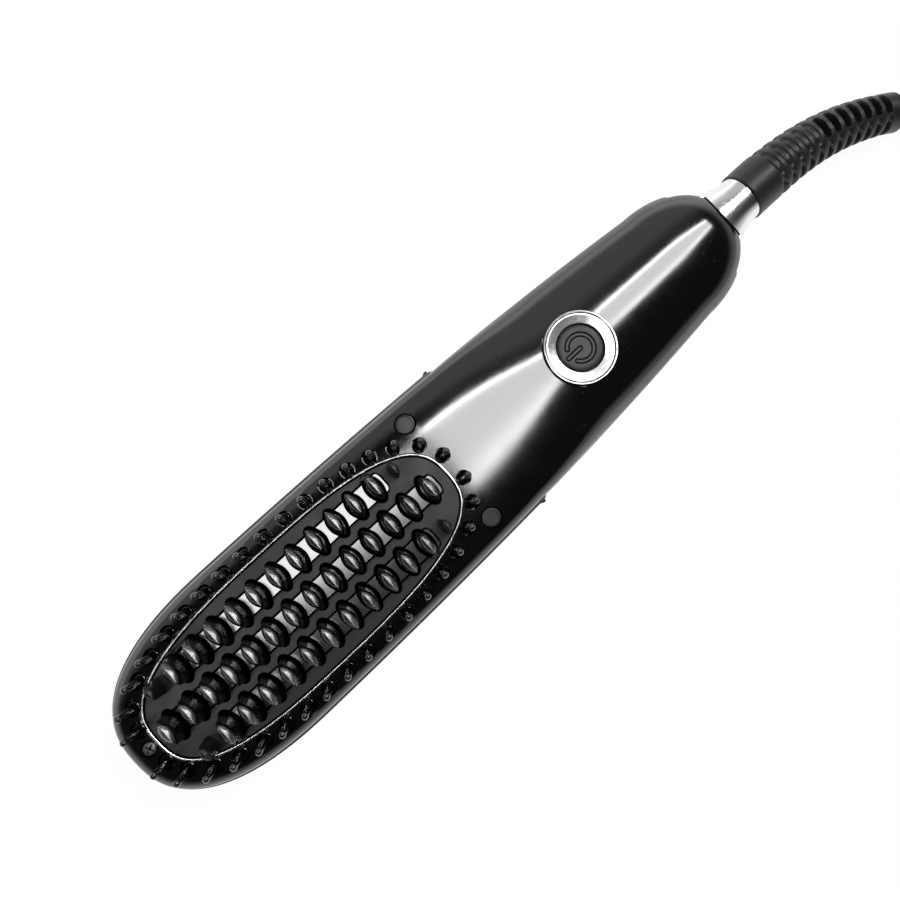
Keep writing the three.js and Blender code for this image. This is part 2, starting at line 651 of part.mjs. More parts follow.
function slotPoints(row) {
  const half = RAIL_WIDTH / 2 + SLOT_PLAY;
  const lobe = { x: FIN_THICKNESS / 2 + LOBE_PLAY, y: FIN_LENGTH / 2 + LOBE_PLAY };
  const meet = lobe.x * Math.sqrt(1 - (half / lobe.y) ** 2);
  const offsets = [-meet, -0.45 * lobe.x, 0, 0.45 * lobe.x, meet];
  const side = row.fins.flatMap((fin) =>
    offsets.map((dx) => new THREE.Vector2(fin + dx, lobe.y * Math.sqrt(1 - (dx / lobe.x) ** 2))),
  );
  const end = row.fins[row.fins.length - 1] + RAIL_OVERRUN + SLOT_PLAY;
  const start = row.fins[0] - RAIL_OVERRUN - SLOT_PLAY;
  const endCap = roundEnd(end, half, 1);
  const startCap = roundEnd(start, half, -1);
  const back = side.map((p) => new THREE.Vector2(p.x, -p.y)).reverse();
  return [...side, ...endCap, ...back, ...startCap].map((p) => new THREE.Vector2(p.x, p.y + row.y));
}

function roundEnd(x, half, direction) {
  const depth = 1;
  return [0.85, 0.45, -0.45, -0.85].map((t) => {
    const y = direction * t * half;
    return new THREE.Vector2(x - direction * depth * (1 - Math.sqrt(1 - t ** 2)), y);
  });
}

function lens(length, thickness) {
  const bow = [[0, 1], [0.84, 0.42], [0.84, -0.42]];
  const right = bow.map(([u, v]) => [(thickness / 2) * u, (length / 2) * v]);
  const left = bow.map(([u, v]) => [(-thickness / 2) * u, (-length / 2) * v]);
  return [...right, ...left].map(([x, y]) => new THREE.Vector2(x, y));
}

function tongue(length, thickness, bottom, top) {
  const levels = [
    [0, 1, 1],
    [0.72, 0.97, 0.86],
    [0.92, 0.9, 0.55],
    [1, 0.68, 0.08],
  ];
  const rings = levels.map(([up, wide, thick]) =>
    lens(length * wide, thickness * thick).map((p) => new THREE.Vector3(p.x, p.y, bottom + up * (top - bottom))),
  );
  return loft(rings);
}

function facePlate() {
  const edge = -PLATE_GROOVE;
  const plate = ovalPrism(edge, PLATE_BOTTOM, FACE_HEIGHT);
  const skirt = ovalRing(edge, edge - PLATE_SKIRT_WIDTH, PLATE_BOTTOM - PLATE_SKIRT, PLATE_BOTTOM + 0.5);
  const slots = rows.map((row) => prism(new THREE.Shape(slotPoints(row)), 0, FAR));
  const stub = tongue(STUB_LENGTH, STUB_THICKNESS, FACE_HEIGHT - PLATE_THICKNESS / 2, FACE_HEIGHT + FIN_HEIGHT);
  const stubX = OUTER_ROW_REACH + FIN_PITCH;
  const stubs = [-1, 1].flatMap((end) =>
    [-1, 1].map((side) => stub.translate([PLATE_X + end * stubX, side * ROW_SPACING, 0])),
  );
  return join(cut(join(plate, skirt), ...slots), ...stubs);
}

function rail(row) {
  const end = row.fins[row.fins.length - 1] + RAIL_OVERRUN;
  const start = row.fins[0] - RAIL_OVERRUN;
  const points = [...roundEnd(end, RAIL_WIDTH / 2, 1).reverse(), ...roundEnd(start, RAIL_WIDTH / 2, -1).reverse()];
  const shape = new THREE.Shape(points.map((p) => new THREE.Vector2(p.x, p.y + row.y)));
  return prism(shape, COMB_TOP - 0.5, FACE_HEIGHT - RAIL_SINK);
}

function heatComb() {
  const base = ovalPrism(-PLATE_GROOVE - COMB_BASE_INSET, COMB_BOTTOM, COMB_TOP);
  const fin = tongue(FIN_LENGTH, FIN_THICKNESS, COMB_TOP - 0.5, FACE_HEIGHT + FIN_HEIGHT);
  const fins = rows.flatMap((row) => row.fins.map((x) => fin.translate([x, row.y, 0])));
  const bossBottom = CLAMP_BOTTOM + CLAMP_THICKNESS + CLEAR;
  const clampPlaces = [-1, 1].map((end) => [PLATE_X + end * CLAMP_SCREW_X, 0]);
  const bosses = clampPlaces.map(([x, y]) => rod(CLAMP_BOSS_RADIUS, bossBottom, COMB_BOTTOM + 0.5, x, y, 16));
  const holes = [
    ...combScrewPlaces.map(([x, y]) => rod(PILOT_RADIUS, 0, COMB_TOP + 1, x, y, 8)),
    ...clampPlaces.map(([x, y]) => rod(PILOT_RADIUS, 0, COMB_BOTTOM + 1, x, y, 8)),
  ];
  return cut(join(base, ...rows.map(rail), ...bosses, ...fins), ...holes);
}

// Fasteners: a pan head on a plain shank, head at the top or at the bottom

function screw(length = SCREW_LENGTH - 1, headRadius = SCREW_HEAD_RADIUS) {
  return turned(
    [
      [0, -length],
      [SCREW_SHANK_RADIUS, -length + 1.2],
      [SCREW_SHANK_RADIUS, 0],
      [headRadius, 0],
      [headRadius, SCREW_HEAD_HEIGHT * 0.7],
      [0, SCREW_HEAD_HEIGHT],
    ],
    10,
  );
}

function tipScrew() {
  const low = SCREW_HEAD_HEIGHT - RECESS_DEPTH;
  const bar = block(-RECESS_LENGTH / 2, RECESS_LENGTH / 2, -RECESS_WIDTH / 2, RECESS_WIDTH / 2, low, low + 2);
  return cut(screw(), bar.rotate([0, 0, RECESS_TURN]), bar.rotate([0, 0, RECESS_TURN + 90]));
}

function screwPlug() {
  const top = FACE_HEIGHT - PLUG_DROP;
  return turned([
    [0, top - PLUG_HEIGHT],
    [PLUG_RADIUS, top - PLUG_HEIGHT],
    [PLUG_RADIUS, top - 0.2],
    [PLUG_RADIUS - 0.3, top],
    [PLUG_DISH_RADIUS + 0.3, top],
    [PLUG_DISH_RADIUS, top - 0.4],
    [0, top - 0.4],
  ]);
}

// Button, bezel and switch, turned round the button's axis

function powerButton() {
  const stemBottom = PLUNGER_TOP + CLEAR;
  const flangeBottom = FLANGE_TOP - BUTTON_FLANGE_THICKNESS;
  return turned(
    [
      [0, stemBottom],
      [BUTTON_STEM_RADIUS, stemBottom],
      [BUTTON_STEM_RADIUS, flangeBottom],
      [BUTTON_FLANGE_RADIUS, flangeBottom],
      [BUTTON_FLANGE_RADIUS, FLANGE_TOP],
      [BUTTON_RADIUS, FLANGE_TOP],
      [BUTTON_RADIUS, BUTTON_TOP - 0.5],
      [BUTTON_RADIUS - 0.9, BUTTON_TOP],
      [0, BUTTON_TOP - 0.15],
    ],
    FINE_STEPS,
  );
}

function buttonBezel() {
  const bore = BUTTON_RADIUS + CLEAR;
  const sleeve = BEZEL_RADIUS - BEZEL_SLEEVE_STEP;
  const seat = BEZEL_SEAT + CLEAR;
  return turned(
    [
      [bore, BEZEL_BOTTOM],
      [sleeve, BEZEL_BOTTOM],
      [sleeve, seat],
      [BEZEL_RADIUS, seat],
      [BEZEL_RADIUS, BEZEL_TOP],
      [BEZEL_RADIUS - 0.55, BEZEL_TOP],
      [BEZEL_RADIUS - 0.75, BEZEL_TOP - 0.5],
      [BEZEL_RADIUS - 1, BEZEL_TOP - 0.15],
      [bore + 0.9, BEZEL_TOP - 0.75],
      [bore, BEZEL_TOP - 1],
      [bore, BEZEL_BOTTOM],
    ],
    FINE_STEPS,
  );
}

function tactSwitch() {
  const half = SWITCH_SIDE / 2;
  const body = block(-half, half, -half, half, SWITCH_BOTTOM, SWITCH_TOP);
  const well = SWITCH_TOP - PLUNGER_DEPTH - BUTTON_TRAVEL - CLEAR;
  return cut(body, rod(PLUNGER_RADIUS + CLEAR, well, SWITCH_TOP + 1, 0, 0, 16));
}

function controlBoard() {
  const half = BOARD_WIDTH / 2;
  const x0 = BOARD_X - BOARD_LENGTH / 2;
  const board = block(x0, x0 + BOARD_LENGTH, -half, half, BOARD_HEIGHT, BOARD_TOP);
  return cut(board, ...boardScrewPlaces.map(([x, y]) => rod(PILOT_RADIUS, 0, FAR, x, y, 8)));
}

function boxPart(length, width, height) {
  const z0 = BOARD_TOP + CLEAR;
  return block(-length / 2, length / 2, -width / 2, width / 2, z0, z0 + height);
}

function canCapacitor(radius, height) {
  const z0 = BOARD_TOP + CLEAR;
  return rod(radius, z0, z0 + height, 0, 0, 20);
}

// Tail: a flared collar holds a turning hub that carries the cord's boot

function ringAlongX(x, halfWidth, z0, z1, steps = 24) {
  const roundness = 2.2;
  const [middle, half] = [(z0 + z1) / 2, (z1 - z0) / 2];
  return Array.from({ length: steps }, (_, i) => {
    const angle = (i / steps) * 2 * Math.PI;
    const y = halfWidth * superPower(Math.cos(angle), roundness);
    return new THREE.Vector3(x, y, middle + half * superPower(Math.sin(angle), roundness));
  });
}

function casingSectionAt(x) {
  const reach = (x - SPINE_REAR) / REAR_CAP;
  const wide = (1 - reach ** REAR_ROUNDNESS) ** (1 / REAR_ROUNDNESS);
  const equator = equatorAt(SPINE_REAR);
  const top = (topAt(SPINE_REAR) - equator) * (1 - reach ** HANDLE_CROWN) ** (1 / HANDLE_CROWN);
  const bottom = (equator - bottomAt(SPINE_REAR)) * (1 - reach ** BELLY_ROUNDNESS) ** (1 / BELLY_ROUNDNESS);
  return { halfWidth: (TAIL_WIDTH / 2) * wide, z0: equator - bottom, z1: equator + top };
}

function tailCollar() {
  const start = casingSectionAt(COLLAR_X);
  const steps = 7;
  const rings = Array.from({ length: steps + 1 }, (_, i) => {
    const along = i / steps;
    const left = (1 - along) ** COLLAR_FLARE;
    const ease = (size, end) => end + (size - end) * left;
    return ringAlongX(
      THREE.MathUtils.lerp(COLLAR_X, COLLAR_END_X, along),
      ease(start.halfWidth, COLLAR_END_RADIUS),
      ease(start.z0, CORD_HEIGHT - COLLAR_END_RADIUS),
      ease(start.z1, CORD_HEIGHT + COLLAR_END_RADIUS),
    );
  });
  const underCover = casingForm({ inset: -CLEAR }).intersect(
    block(-FAR, FAR, -FAR, FAR, PARTING_HEIGHT - CLEAR / 2, FAR),
  );
  const spigotStart = COLLAR_X - SPIGOT_LENGTH;
  const spigot = turnedAlongX([
    [spigotStart, 0],
    [spigotStart, SPIGOT_RADIUS],
    [COLLAR_X + 1, SPIGOT_RADIUS],
    [COLLAR_X + 1, 0],
  ]).translate([0, 0, CORD_HEIGHT]);
  const bore = turnedAlongX([
    [spigotStart - 1, 0],
    [spigotStart - 1, SPIGOT_BORE],
    [COLLAR_X, SPIGOT_BORE],
    [COLLAR_X, COLLAR_BORE],
    [COLLAR_END_X + 1, COLLAR_BORE],
    [COLLAR_END_X + 1, 0],
  ]).translate([0, 0, CORD_HEIGHT]);
  return cut(join(cut(loft(rings), underCover), spigot), bore);
}

function swivelHub() {
  const flangeRadius = SPIGOT_BORE - CLEAR;
  const neckRadius = COLLAR_BORE - CLEAR;
  const flangeEnd = COLLAR_X - CLEAR;
  return turnedAlongX([
    [flangeEnd - HUB_FLANGE_THICKNESS, 0],
    [flangeEnd - HUB_FLANGE_THICKNESS, flangeRadius],
    [flangeEnd, flangeRadius],
    [flangeEnd, neckRadius],
    [COLLAR_END_X, neckRadius],
    [COLLAR_END_X, 0],
  ]).translate([0, 0, CORD_HEIGHT]);
}

const BOOT_X = COLLAR_END_X + CLEAR;
const bootRoute = [
  [BOOT_X, 0, CORD_HEIGHT],
  [BOOT_X + 6, 0, CORD_HEIGHT],
  [BOOT_X + BOOT_SLEEVE, -0.1, CORD_HEIGHT],
  [BOOT_X + 20.85, -0.8, CORD_HEIGHT - 0.1],
  [BOOT_X + 30.85, -2.3, CORD_HEIGHT - 0.5],
  [BOOT_X + 39.85, -4.6, CORD_HEIGHT - 1.1],
  [BOOT_X + 47.85, -7.5, CORD_HEIGHT - 1.9],
  [BOOT_X + 54.35, -10.4, CORD_HEIGHT - 2.7],
  [BOOT_X + 58.9, -12.8, CORD_HEIGHT - 3.34],
];

function route(points) {
  return new THREE.CatmullRomCurve3(points.map((p) => new THREE.Vector3(...p)), false, 'centripetal');
}

function ringOnCurve(curve, along, radii, up = new THREE.Vector3(0, 0, 1)) {
  const centre = curve.getPointAt(along);
  const forward = curve.getTangentAt(along);
  const side = new THREE.Vector3().crossVectors(up, forward).normalize();
  const over = new THREE.Vector3().crossVectors(forward, side);
  return radii.map((radius, i) => {
    const angle = (i / radii.length) * 2 * Math.PI;
    return centre
      .clone()
      .addScaledVector(side, radius * Math.cos(angle))
      .addScaledVector(over, radius * Math.sin(angle));
  });
}

function bootRadii(outer, depth, sides = 12) {
  const everyWeb = sides / 4;
  return Array.from({ length: sides }, (_, i) => (i % everyWeb === 0 ? outer : outer - depth));
}

function cordBoot() {
  const curve = route(bootRoute);
  const length = curve.getLength();
  const pitch = (length - BOOT_SLEEVE - BOOT_END_COLLAR) / BOOT_RIBS;
  const stations = [
    [0, BOOT_RADIUS - 0.3, 0],
    [0.4, BOOT_RADIUS, 0],
    [BOOT_SLEEVE - 0.2, BOOT_RADIUS, 0],
  ];
  for (let i = 0; i < BOOT_RIBS; i += 1) {
    const start = BOOT_SLEEVE + i * pitch;
    const outer = THREE.MathUtils.lerp(BOOT_RADIUS - 0.2, BOOT_END_RADIUS, (i + 0.5) / BOOT_RIBS);
    const depth = i < BOOT_BLIND_RIBS ? BOOT_BLIND_DEPTH : BOOT_SLOT_DEPTH;
    stations.push([start + 0.02 * pitch, outer, 0]);
    stations.push([start + 0.1 * pitch, outer, depth]);
    stations.push([start + 0.52 * pitch, outer, depth]);
    stations.push([start + 0.6 * pitch, outer, 0]);
  }
  stations.push([length - BOOT_END_COLLAR, BOOT_END_RADIUS, 0]);
  stations.push([length - 0.5, BOOT_END_RADIUS, 0]);
  stations.push([length, BOOT_END_RADIUS - 0.5, 0]);
  const turn = THREE.MathUtils.degToRad(BOOT_TURN);
  const up = new THREE.Vector3(0, -Math.sin(turn), Math.cos(turn));
  return loft(stations.map(([s, outer, depth]) => ringOnCurve(curve, s / length, bootRadii(outer, depth), up)));
}

// Cord: the free stretch, the coil and the stretch up to the plug

// A place on one long turn, a number of steps after the start of its lower straight side.
function loopPoint(steps, radius) {
  const step = ((steps % COIL_STEPS) + COIL_STEPS) % COIL_STEPS;
  const halfTurn = COIL_STEPS / 2;
  const side = step < halfTurn ? 1 : -1;
  const onSide = step % halfTurn;
  const half = COIL_STRAIGHT / 2;
  if (onSide < COIL_STRAIGHT_STEPS) {
    const x = THREE.MathUtils.lerp(-half, half, onSide / COIL_STRAIGHT_STEPS);
    return new THREE.Vector3(side * x, -side * radius, 0);
  }
  const share = (onSide - COIL_STRAIGHT_STEPS) / (halfTurn - COIL_STRAIGHT_STEPS);
  const angle = (share - 0.5) * Math.PI;
  return new THREE.Vector3(side * (half + radius * Math.cos(angle)), side * radius * Math.sin(angle), 0);
}

function coilPoint(steps) {
  const turns = steps / COIL_STEPS;
  const n = COIL_TOTAL_STEPS / COIL_STEPS / COIL_LAYERS;
  const layer = Math.min(COIL_LAYERS - 1, Math.floor(turns / n));
  const inLayer = turns - layer * n;
  const inward = layer % 2 === 0 ? inLayer : n - inLayer;
  const radius = COIL_RADIUS - COIL_PITCH * inward;
  let climbed = 0;
  for (let k = 1; k < COIL_LAYERS; k += 1) {
    climbed += THREE.MathUtils.clamp((turns - k * n) * 2 + 0.5, 0, 1);
  }
  return loopPoint(steps - COIL_STEPS_BEFORE_STRAIGHT, radius)
    .add(new THREE.Vector3(BOOT_X + COIL_FROM_BOOT, -COIL_ASIDE, 0))
    .setZ(COIL_LIFT + CORD_DIAMETER / 2 + COIL_PITCH * climbed);
}

function coilRoute() {
  const count = COIL_TOTAL_STEPS;
  const points = Array.from({ length: count + 1 }, (_, i) => coilPoint(i));
  const first = points[0].clone().sub(points[1]).setZ(0).setLength(CORD_DIAMETER).add(points[0]);
  const last = points[count].clone().sub(points[count - 1]).setZ(0).setLength(CORD_DIAMETER).add(points[count]);
  return [first, ...points, last];
}

function cordCoil() {
  const points = coilRoute();
  const up = new THREE.Vector3(0, 0, 1);
  const rings = points.map((point, i) => {
    const before = points[Math.max(0, i - 1)];
    const after = points[Math.min(points.length - 1, i + 1)];
    const forward = after.clone().sub(before).normalize();
    const side = new THREE.Vector3().crossVectors(up, forward).normalize();
    const over = new THREE.Vector3().crossVectors(forward, side);
    return Array.from({ length: COIL_SIDES }, (_, k) => {
      const angle = (k / COIL_SIDES) * 2 * Math.PI;
      return point
        .clone()
        .addScaledVector(side, (CORD_DIAMETER / 2) * Math.cos(angle))
        .addScaledVector(over, (CORD_DIAMETER / 2) * Math.sin(angle));
    });
  });
  return loft(rings);
}

function leastCoilGap() {
  const points = coilRoute();
  const apart = Math.ceil(COIL_STEPS / 2);
  let least = Infinity;
  for (let i = 0; i < points.length; i += 1) {
    for (let j = i + apart; j < points.length; j += 1) {
      least = Math.min(least, points[i].distanceTo(points[j]));
    }
  }
  return least - CORD_DIAMETER;
}

const coilEnds = coilRoute();
const coilStart = coilEnds[0];
const coilEnd = coilEnds[coilEnds.length - 1];

const coilLeadIn = coilEnds[0].clone().sub(coilEnds[1]).setZ(0).normalize();
const coilLeadOut = coilEnd.clone().sub(coilEnds[coilEnds.length - 2]).setZ(0).normalize();

function onward(point, direction, distance) {
  return point.clone().addScaledVector(direction, distance).toArray();
}

const tailRoute = [
  [BOOT_X + 59.25, -13, CORD_HEIGHT - 3.4],
  [BOOT_X + 64.85, -16.6, CORD_HEIGHT - 4.2],
  [BOOT_X + 70.35, -20.8, CORD_HEIGHT - 5.7],
  [BOOT_X + 77.35, -25.8, CORD_HEIGHT - 8.4],
  onward(coilStart, coilLeadIn, CLEAR + 7),
  onward(coilStart, coilLeadIn, CLEAR),
];

// From the coil the cord curls over its top and meets the plug that lies along it.
const CURL_RADIUS = 19;
const CURL_ANGLE = 180;
const CURL_LIFT = 33.8;
const curlSide = new THREE.Vector3(-coilLeadOut.y, coilLeadOut.x, 0);
const curlStart = coilEnd.clone().addScaledVector(coilLeadOut, CLEAR + 2.5);
const curlCentre = curlStart.clone().addScaledVector(curlSide, CURL_RADIUS);

function curlPoint(degrees) {
  const angle = THREE.MathUtils.degToRad(degrees);
  const height = THREE.MathUtils.lerp(curlStart.z, CURL_LIFT, blend(degrees, 0, 80));
  return curlCentre
    .clone()
    .addScaledVector(coilLeadOut, CURL_RADIUS * Math.sin(angle))
    .addScaledVector(curlSide, -CURL_RADIUS * Math.cos(angle))
    .setZ(height);
}

const curlEnd = curlPoint(CURL_ANGLE);
const plugDirection = coilLeadOut
  .clone()
  .multiplyScalar(Math.cos(THREE.MathUtils.degToRad(CURL_ANGLE)))
  .addScaledVector(curlSide, Math.sin(THREE.MathUtils.degToRad(CURL_ANGLE)));
const plugStart = onward(curlEnd, plugDirection, 3 + CLEAR);
const endRoute = [
  onward(coilEnd, coilLeadOut, CLEAR),
  ...[0, 12, 30, 50, 70, 90, 108, 126, 144, 162, CURL_ANGLE].map((degrees) => curlPoint(degrees).toArray()),
  onward(curlEnd, plugDirection, 3),
];

function plugBody() {
  const sections = [
    [0, PLUG_NECK_RADIUS * 0.85, PLUG_NECK_RADIUS * 0.85],
    [PLUG_NECK_LENGTH, PLUG_NECK_RADIUS, PLUG_NECK_RADIUS],
    [PLUG_NECK_LENGTH + 6, PLUG_BODY_WIDTH * 0.22, PLUG_BODY_THICKNESS / 2],
    [PLUG_NECK_LENGTH + 20, PLUG_BODY_WIDTH * 0.38, PLUG_BODY_THICKNESS / 2],
    [PLUG_NECK_LENGTH + 30, PLUG_BODY_WIDTH / 2, PLUG_BODY_THICKNESS / 2],
    [PLUG_NECK_LENGTH + PLUG_BODY_LENGTH, PLUG_BODY_WIDTH / 2, PLUG_BODY_THICKNESS / 2],
  ];
  const rings = sections.map(([x, width, height]) => ringAlongX(x, width, -height, height, 16));
  const end = PLUG_NECK_LENGTH + PLUG_BODY_LENGTH;
  const sockets = [1, -1].map((side) =>
    turnedAlongX([[end - 4, 0], [end - 4, PLUG_PIN_RADIUS + CLEAR], [end + 1, PLUG_PIN_RADIUS + CLEAR], [end + 1, 0]], 12)
      .translate([0, (side * PLUG_PIN_SPACING) / 2, 0]),
  );
  return cut(loft(rings), ...sockets);
}

function plugPin() {
  const start = PLUG_NECK_LENGTH + PLUG_BODY_LENGTH - 4 + CLEAR;
  const end = PLUG_NECK_LENGTH + PLUG_BODY_LENGTH + PLUG_PIN_LENGTH;
  return turnedAlongX(
    [[start, 0], [start, PLUG_PIN_RADIUS], [end - 1.5, PLUG_PIN_RADIUS], [end - 0.4, PLUG_PIN_RADIUS * 0.7], [end, 0]],
    12,
  );
}

// Assembly

const casing = new THREE.Group();
addPiece(casing, 'lower_shell', lowerShell(), FINISH.satin);
addPiece(casing, 'top_cover', topCover(), FINISH.gloss);
addPiece(casing, 'tail_collar', tailCollar(), FINISH.chrome);
addPiece(casing, 'tip_screw', tipScrew(), FINISH.steel, [TIP_SCREW_X, 0, TIP_HEAD_TOP - SCREW_HEAD_HEIGHT]);
coverScrewPlaces.forEach(([x, y], i) => {
  const side = i === 0 ? 'left' : 'right';
  addPiece(casing, `cover_screw_${side}`, screw(), FINISH.steel, [x, y, BOSS_FLOOR_BOTTOM + BOSS_FLOOR + CLEAR]);
  addPiece(casing, `screw_plug_${side}`, screwPlug(), FINISH.gloss, [x, y, 0]);
});

const bristleFace = new THREE.Group();
addPiece(bristleFace, 'guard_pin_ring', guardPinRing(), FINISH.pin);
addPiece(bristleFace, 'face_plate', facePlate(), FINISH.matte);
addPiece(bristleFace, 'heat_comb', heatComb(), FINISH.comb);
combScrewPlaces.forEach(([x, y], i) => {
  addPiece(bristleFace, `comb_screw_${i + 1}`, screw(), FINISH.steel, [x, y, COMB_TOP + CLEAR]);
});

const heater = new THREE.Group();
heater.position.set(PLATE_X, 0, 0);
const [heaterX, heaterY] = [HEATER_LENGTH / 2, HEATER_WIDTH / 2];
addPiece(
  heater,
  'heater_element',
  block(-heaterX, heaterX, -heaterY, heaterY, HEATER_BOTTOM, HEATER_BOTTOM + HEATER_THICKNESS),
  FINISH.ceramic,
);
addPiece(
  heater,
  'heater_film',
  block(-heaterX - 1, heaterX + 1, -heaterY - 1, heaterY + 1, FILM_BOTTOM, FILM_BOTTOM + FILM_THICKNESS),
  FINISH.film,
);
const clampHoles = [-1, 1].map((end) => rod(PILOT_RADIUS, 0, FAR, end * CLAMP_SCREW_X, 0, 8));
const clamp = block(
  -CLAMP_LENGTH / 2,
  CLAMP_LENGTH / 2,
  -CLAMP_WIDTH / 2,
  CLAMP_WIDTH / 2,
  CLAMP_BOTTOM,
  CLAMP_BOTTOM + CLAMP_THICKNESS,
);
addPiece(heater, 'clamp_plate', cut(clamp, ...clampHoles), FINISH.steel);
[-1, 1].forEach((end, i) => {
  const upside = screw(CLAMP_THICKNESS + 4).rotate([180, 0, 0]);
  addPiece(heater, `clamp_screw_${i + 1}`, upside, FINISH.steel, [end * CLAMP_SCREW_X, 0, CLAMP_BOTTOM - CLEAR]);
});
const fuse = turnedAlongX([
  [-FUSE_LENGTH / 2, 0],
  [-FUSE_LENGTH / 2 + 1, FUSE_RADIUS],
  [FUSE_LENGTH / 2 - 1, FUSE_RADIUS],
  [FUSE_LENGTH / 2, 0],
], 12);
addPiece(heater, 'thermal_fuse', fuse, FINISH.white, [-12, SENSOR_OFFSET, COMB_BOTTOM - CLEAR - FUSE_RADIUS]);
const sensor = block(
  -SENSOR_LENGTH / 2,
  SENSOR_LENGTH / 2,
  -SENSOR_WIDTH / 2,
  SENSOR_WIDTH / 2,
  COMB_BOTTOM - CLEAR - SENSOR_HEIGHT,
  COMB_BOTTOM - CLEAR,
);
addPiece(heater, 'temperature_sensor', sensor, FINISH.film, [12, SENSOR_OFFSET, 0]);

const electronics = new THREE.Group();
addPiece(electronics, 'control_board', controlBoard(), FINISH.board);
addPiece(electronics, 'tact_switch', tactSwitch(), FINISH.satin, [BUTTON_X, 0, 0]);
addPiece(electronics, 'power_triac', boxPart(10, 4.5, 6), FINISH.satin, [BOARD_X - 22, 7, 0]);
addPiece(electronics, 'film_capacitor', boxPart(13, 6, TALL_PART_HEIGHT), FINISH.blue, [BOARD_X + 20, -6, 0]);
addPiece(electronics, 'reservoir_capacitor', canCapacitor(3.2, TALL_PART_HEIGHT), FINISH.satin, [BOARD_X + 17, 6, 0]);
addPiece(electronics, 'indicator_led', canCapacitor(1.5, 3), FINISH.white, [BUTTON_X, SWITCH_SIDE, 0]);
boardScrewPlaces.forEach(([x, y], i) => {
  addPiece(electronics, `board_screw_${i + 1}`, screw(), FINISH.steel, [x, y, BOARD_TOP + CLEAR]);
});

const button = new THREE.Group();
button.position.set(BUTTON_X, 0, 0);
addPiece(button, 'power_button', powerButton(), FINISH.matte);
addPiece(button, 'switch_plunger', rod(PLUNGER_RADIUS, SWITCH_TOP - PLUNGER_DEPTH, PLUNGER_TOP, 0, 0, 16), FINISH.white);
addPiece(button, 'button_bezel', buttonBezel(), FINISH.chrome);

const wiring = new THREE.Group();
const boardFront = BOARD_X - BOARD_LENGTH / 2;
const boardRear = BOARD_X + BOARD_LENGTH / 2;
const wireHeight = BOARD_TOP - 0.6;
const leadRadius = 0.9;
const heaterEnd = PLATE_X + HEATER_LENGTH / 2;
const heaterMiddle = HEATER_BOTTOM + HEATER_THICKNESS / 2;
[1, -1].forEach((side) => {
  const name = side > 0 ? 'live' : 'neutral';
  const heaterLead = [
    [heaterEnd + CLEAR, side * LEAD_OFFSET, heaterMiddle],
    [heaterEnd + 8, side * LEAD_OFFSET, heaterMiddle],
    [SCREW_PLUG_X - 5.85, side * LEAD_OFFSET, HEATER_BOTTOM + 0.5],
    [SCREW_PLUG_X + 2.15, side * 5.6, BOARD_TOP + 0.4],
    [boardFront - 8, side * 7, wireHeight],
    [boardFront - 3, side * 7, wireHeight],
    [boardFront - CLEAR, side * 7, wireHeight],
  ];
  addPiece(wiring, `heater_lead_${name}`, tube(heaterLead, leadRadius, 6, 12), side > 0 ? FINISH.red : FINISH.white);
  const supplyLead = [
    [boardRear + CLEAR, side * 3, wireHeight],
    [boardRear + 2.2, side * 3, wireHeight],
    [COLLAR_X - HUB_FLANGE_THICKNESS - 2.6, side * 3, CORD_HEIGHT],
    [COLLAR_X - HUB_FLANGE_THICKNESS - 2 * CLEAR, side * 3, CORD_HEIGHT],
  ];
  addPiece(wiring, `supply_lead_${name}`, tube(supplyLead, leadRadius, 6, 5), side > 0 ? FINISH.red : FINISH.blue);
});
const sensorLead = [
  [PLATE_X + 12 + SENSOR_LENGTH / 2 + CLEAR, SENSOR_OFFSET, COMB_BOTTOM - CLEAR - SENSOR_HEIGHT / 2],
  [PLATE_X + 22, SENSOR_OFFSET + 0.4, COMB_BOTTOM - CLEAR - SENSOR_HEIGHT / 2],
  [SCREW_PLUG_X - 17.85, SENSOR_OFFSET + 2.2, HEATER_BOTTOM + 0.5],
  [SCREW_PLUG_X - 9.85, SENSOR_OFFSET + 2.6, BOARD_TOP + 1.3],
  [SCREW_PLUG_X - 3.85, SENSOR_OFFSET + 0.8, BOARD_TOP + 0.2],
  [SCREW_PLUG_X + 5.15, BOARD_WIDTH / 2 - 1.8, wireHeight],
  [boardFront - 5, BOARD_WIDTH / 2 - 2, wireHeight],
  [boardFront - CLEAR, BOARD_WIDTH / 2 - 2, wireHeight],
];
addPiece(wiring, 'sensor_lead', tube(sensorLead, 0.7, 6, 16), FINISH.white);

const cord = new THREE.Group();
addPiece(cord, 'swivel_hub', swivelHub(), FINISH.white);
addPiece(cord, 'cord_boot', cordBoot(), FINISH.rubber);
addPiece(cord, 'cord_tail', tube(tailRoute, CORD_DIAMETER / 2, 10, 6), FINISH.rubber);
addPiece(cord, 'cord_coil', cordCoil(), FINISH.rubber);
addPiece(cord, 'cord_end', tube(endRoute, CORD_DIAMETER / 2, 10, 10), FINISH.rubber);
const plug = new THREE.Group();
plug.position.set(...plugStart);
plug.rotation.z = Math.atan2(plugDirection.y, plugDirection.x);
addPiece(plug, 'plug_body', plugBody(), FINISH.rubber);
addPiece(plug, 'plug_pin_live', plugPin(), FINISH.steel, [0, PLUG_PIN_SPACING / 2, 0]);
addPiece(plug, 'plug_pin_neutral', plugPin(), FINISH.steel, [0, -PLUG_PIN_SPACING / 2, 0]);
cord.add(plug);

brush.add(casing, bristleFace, heater, electronics, button, wiring, cord);
console.log(`least gap between the coil's turns: ${leastCoilGap().toFixed(2)} mm`);

export default brush;
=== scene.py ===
"""Heated styling brush: the dressed model, its finishes, its cord, and the studio that it lies in."""

import logging
import math
from collections.abc import Callable, Iterable, Sequence
from dataclasses import dataclass, field
from enum import Enum
from itertools import accumulate
from typing import Any

import bmesh
import bpy
from mathutils import Matrix, Vector


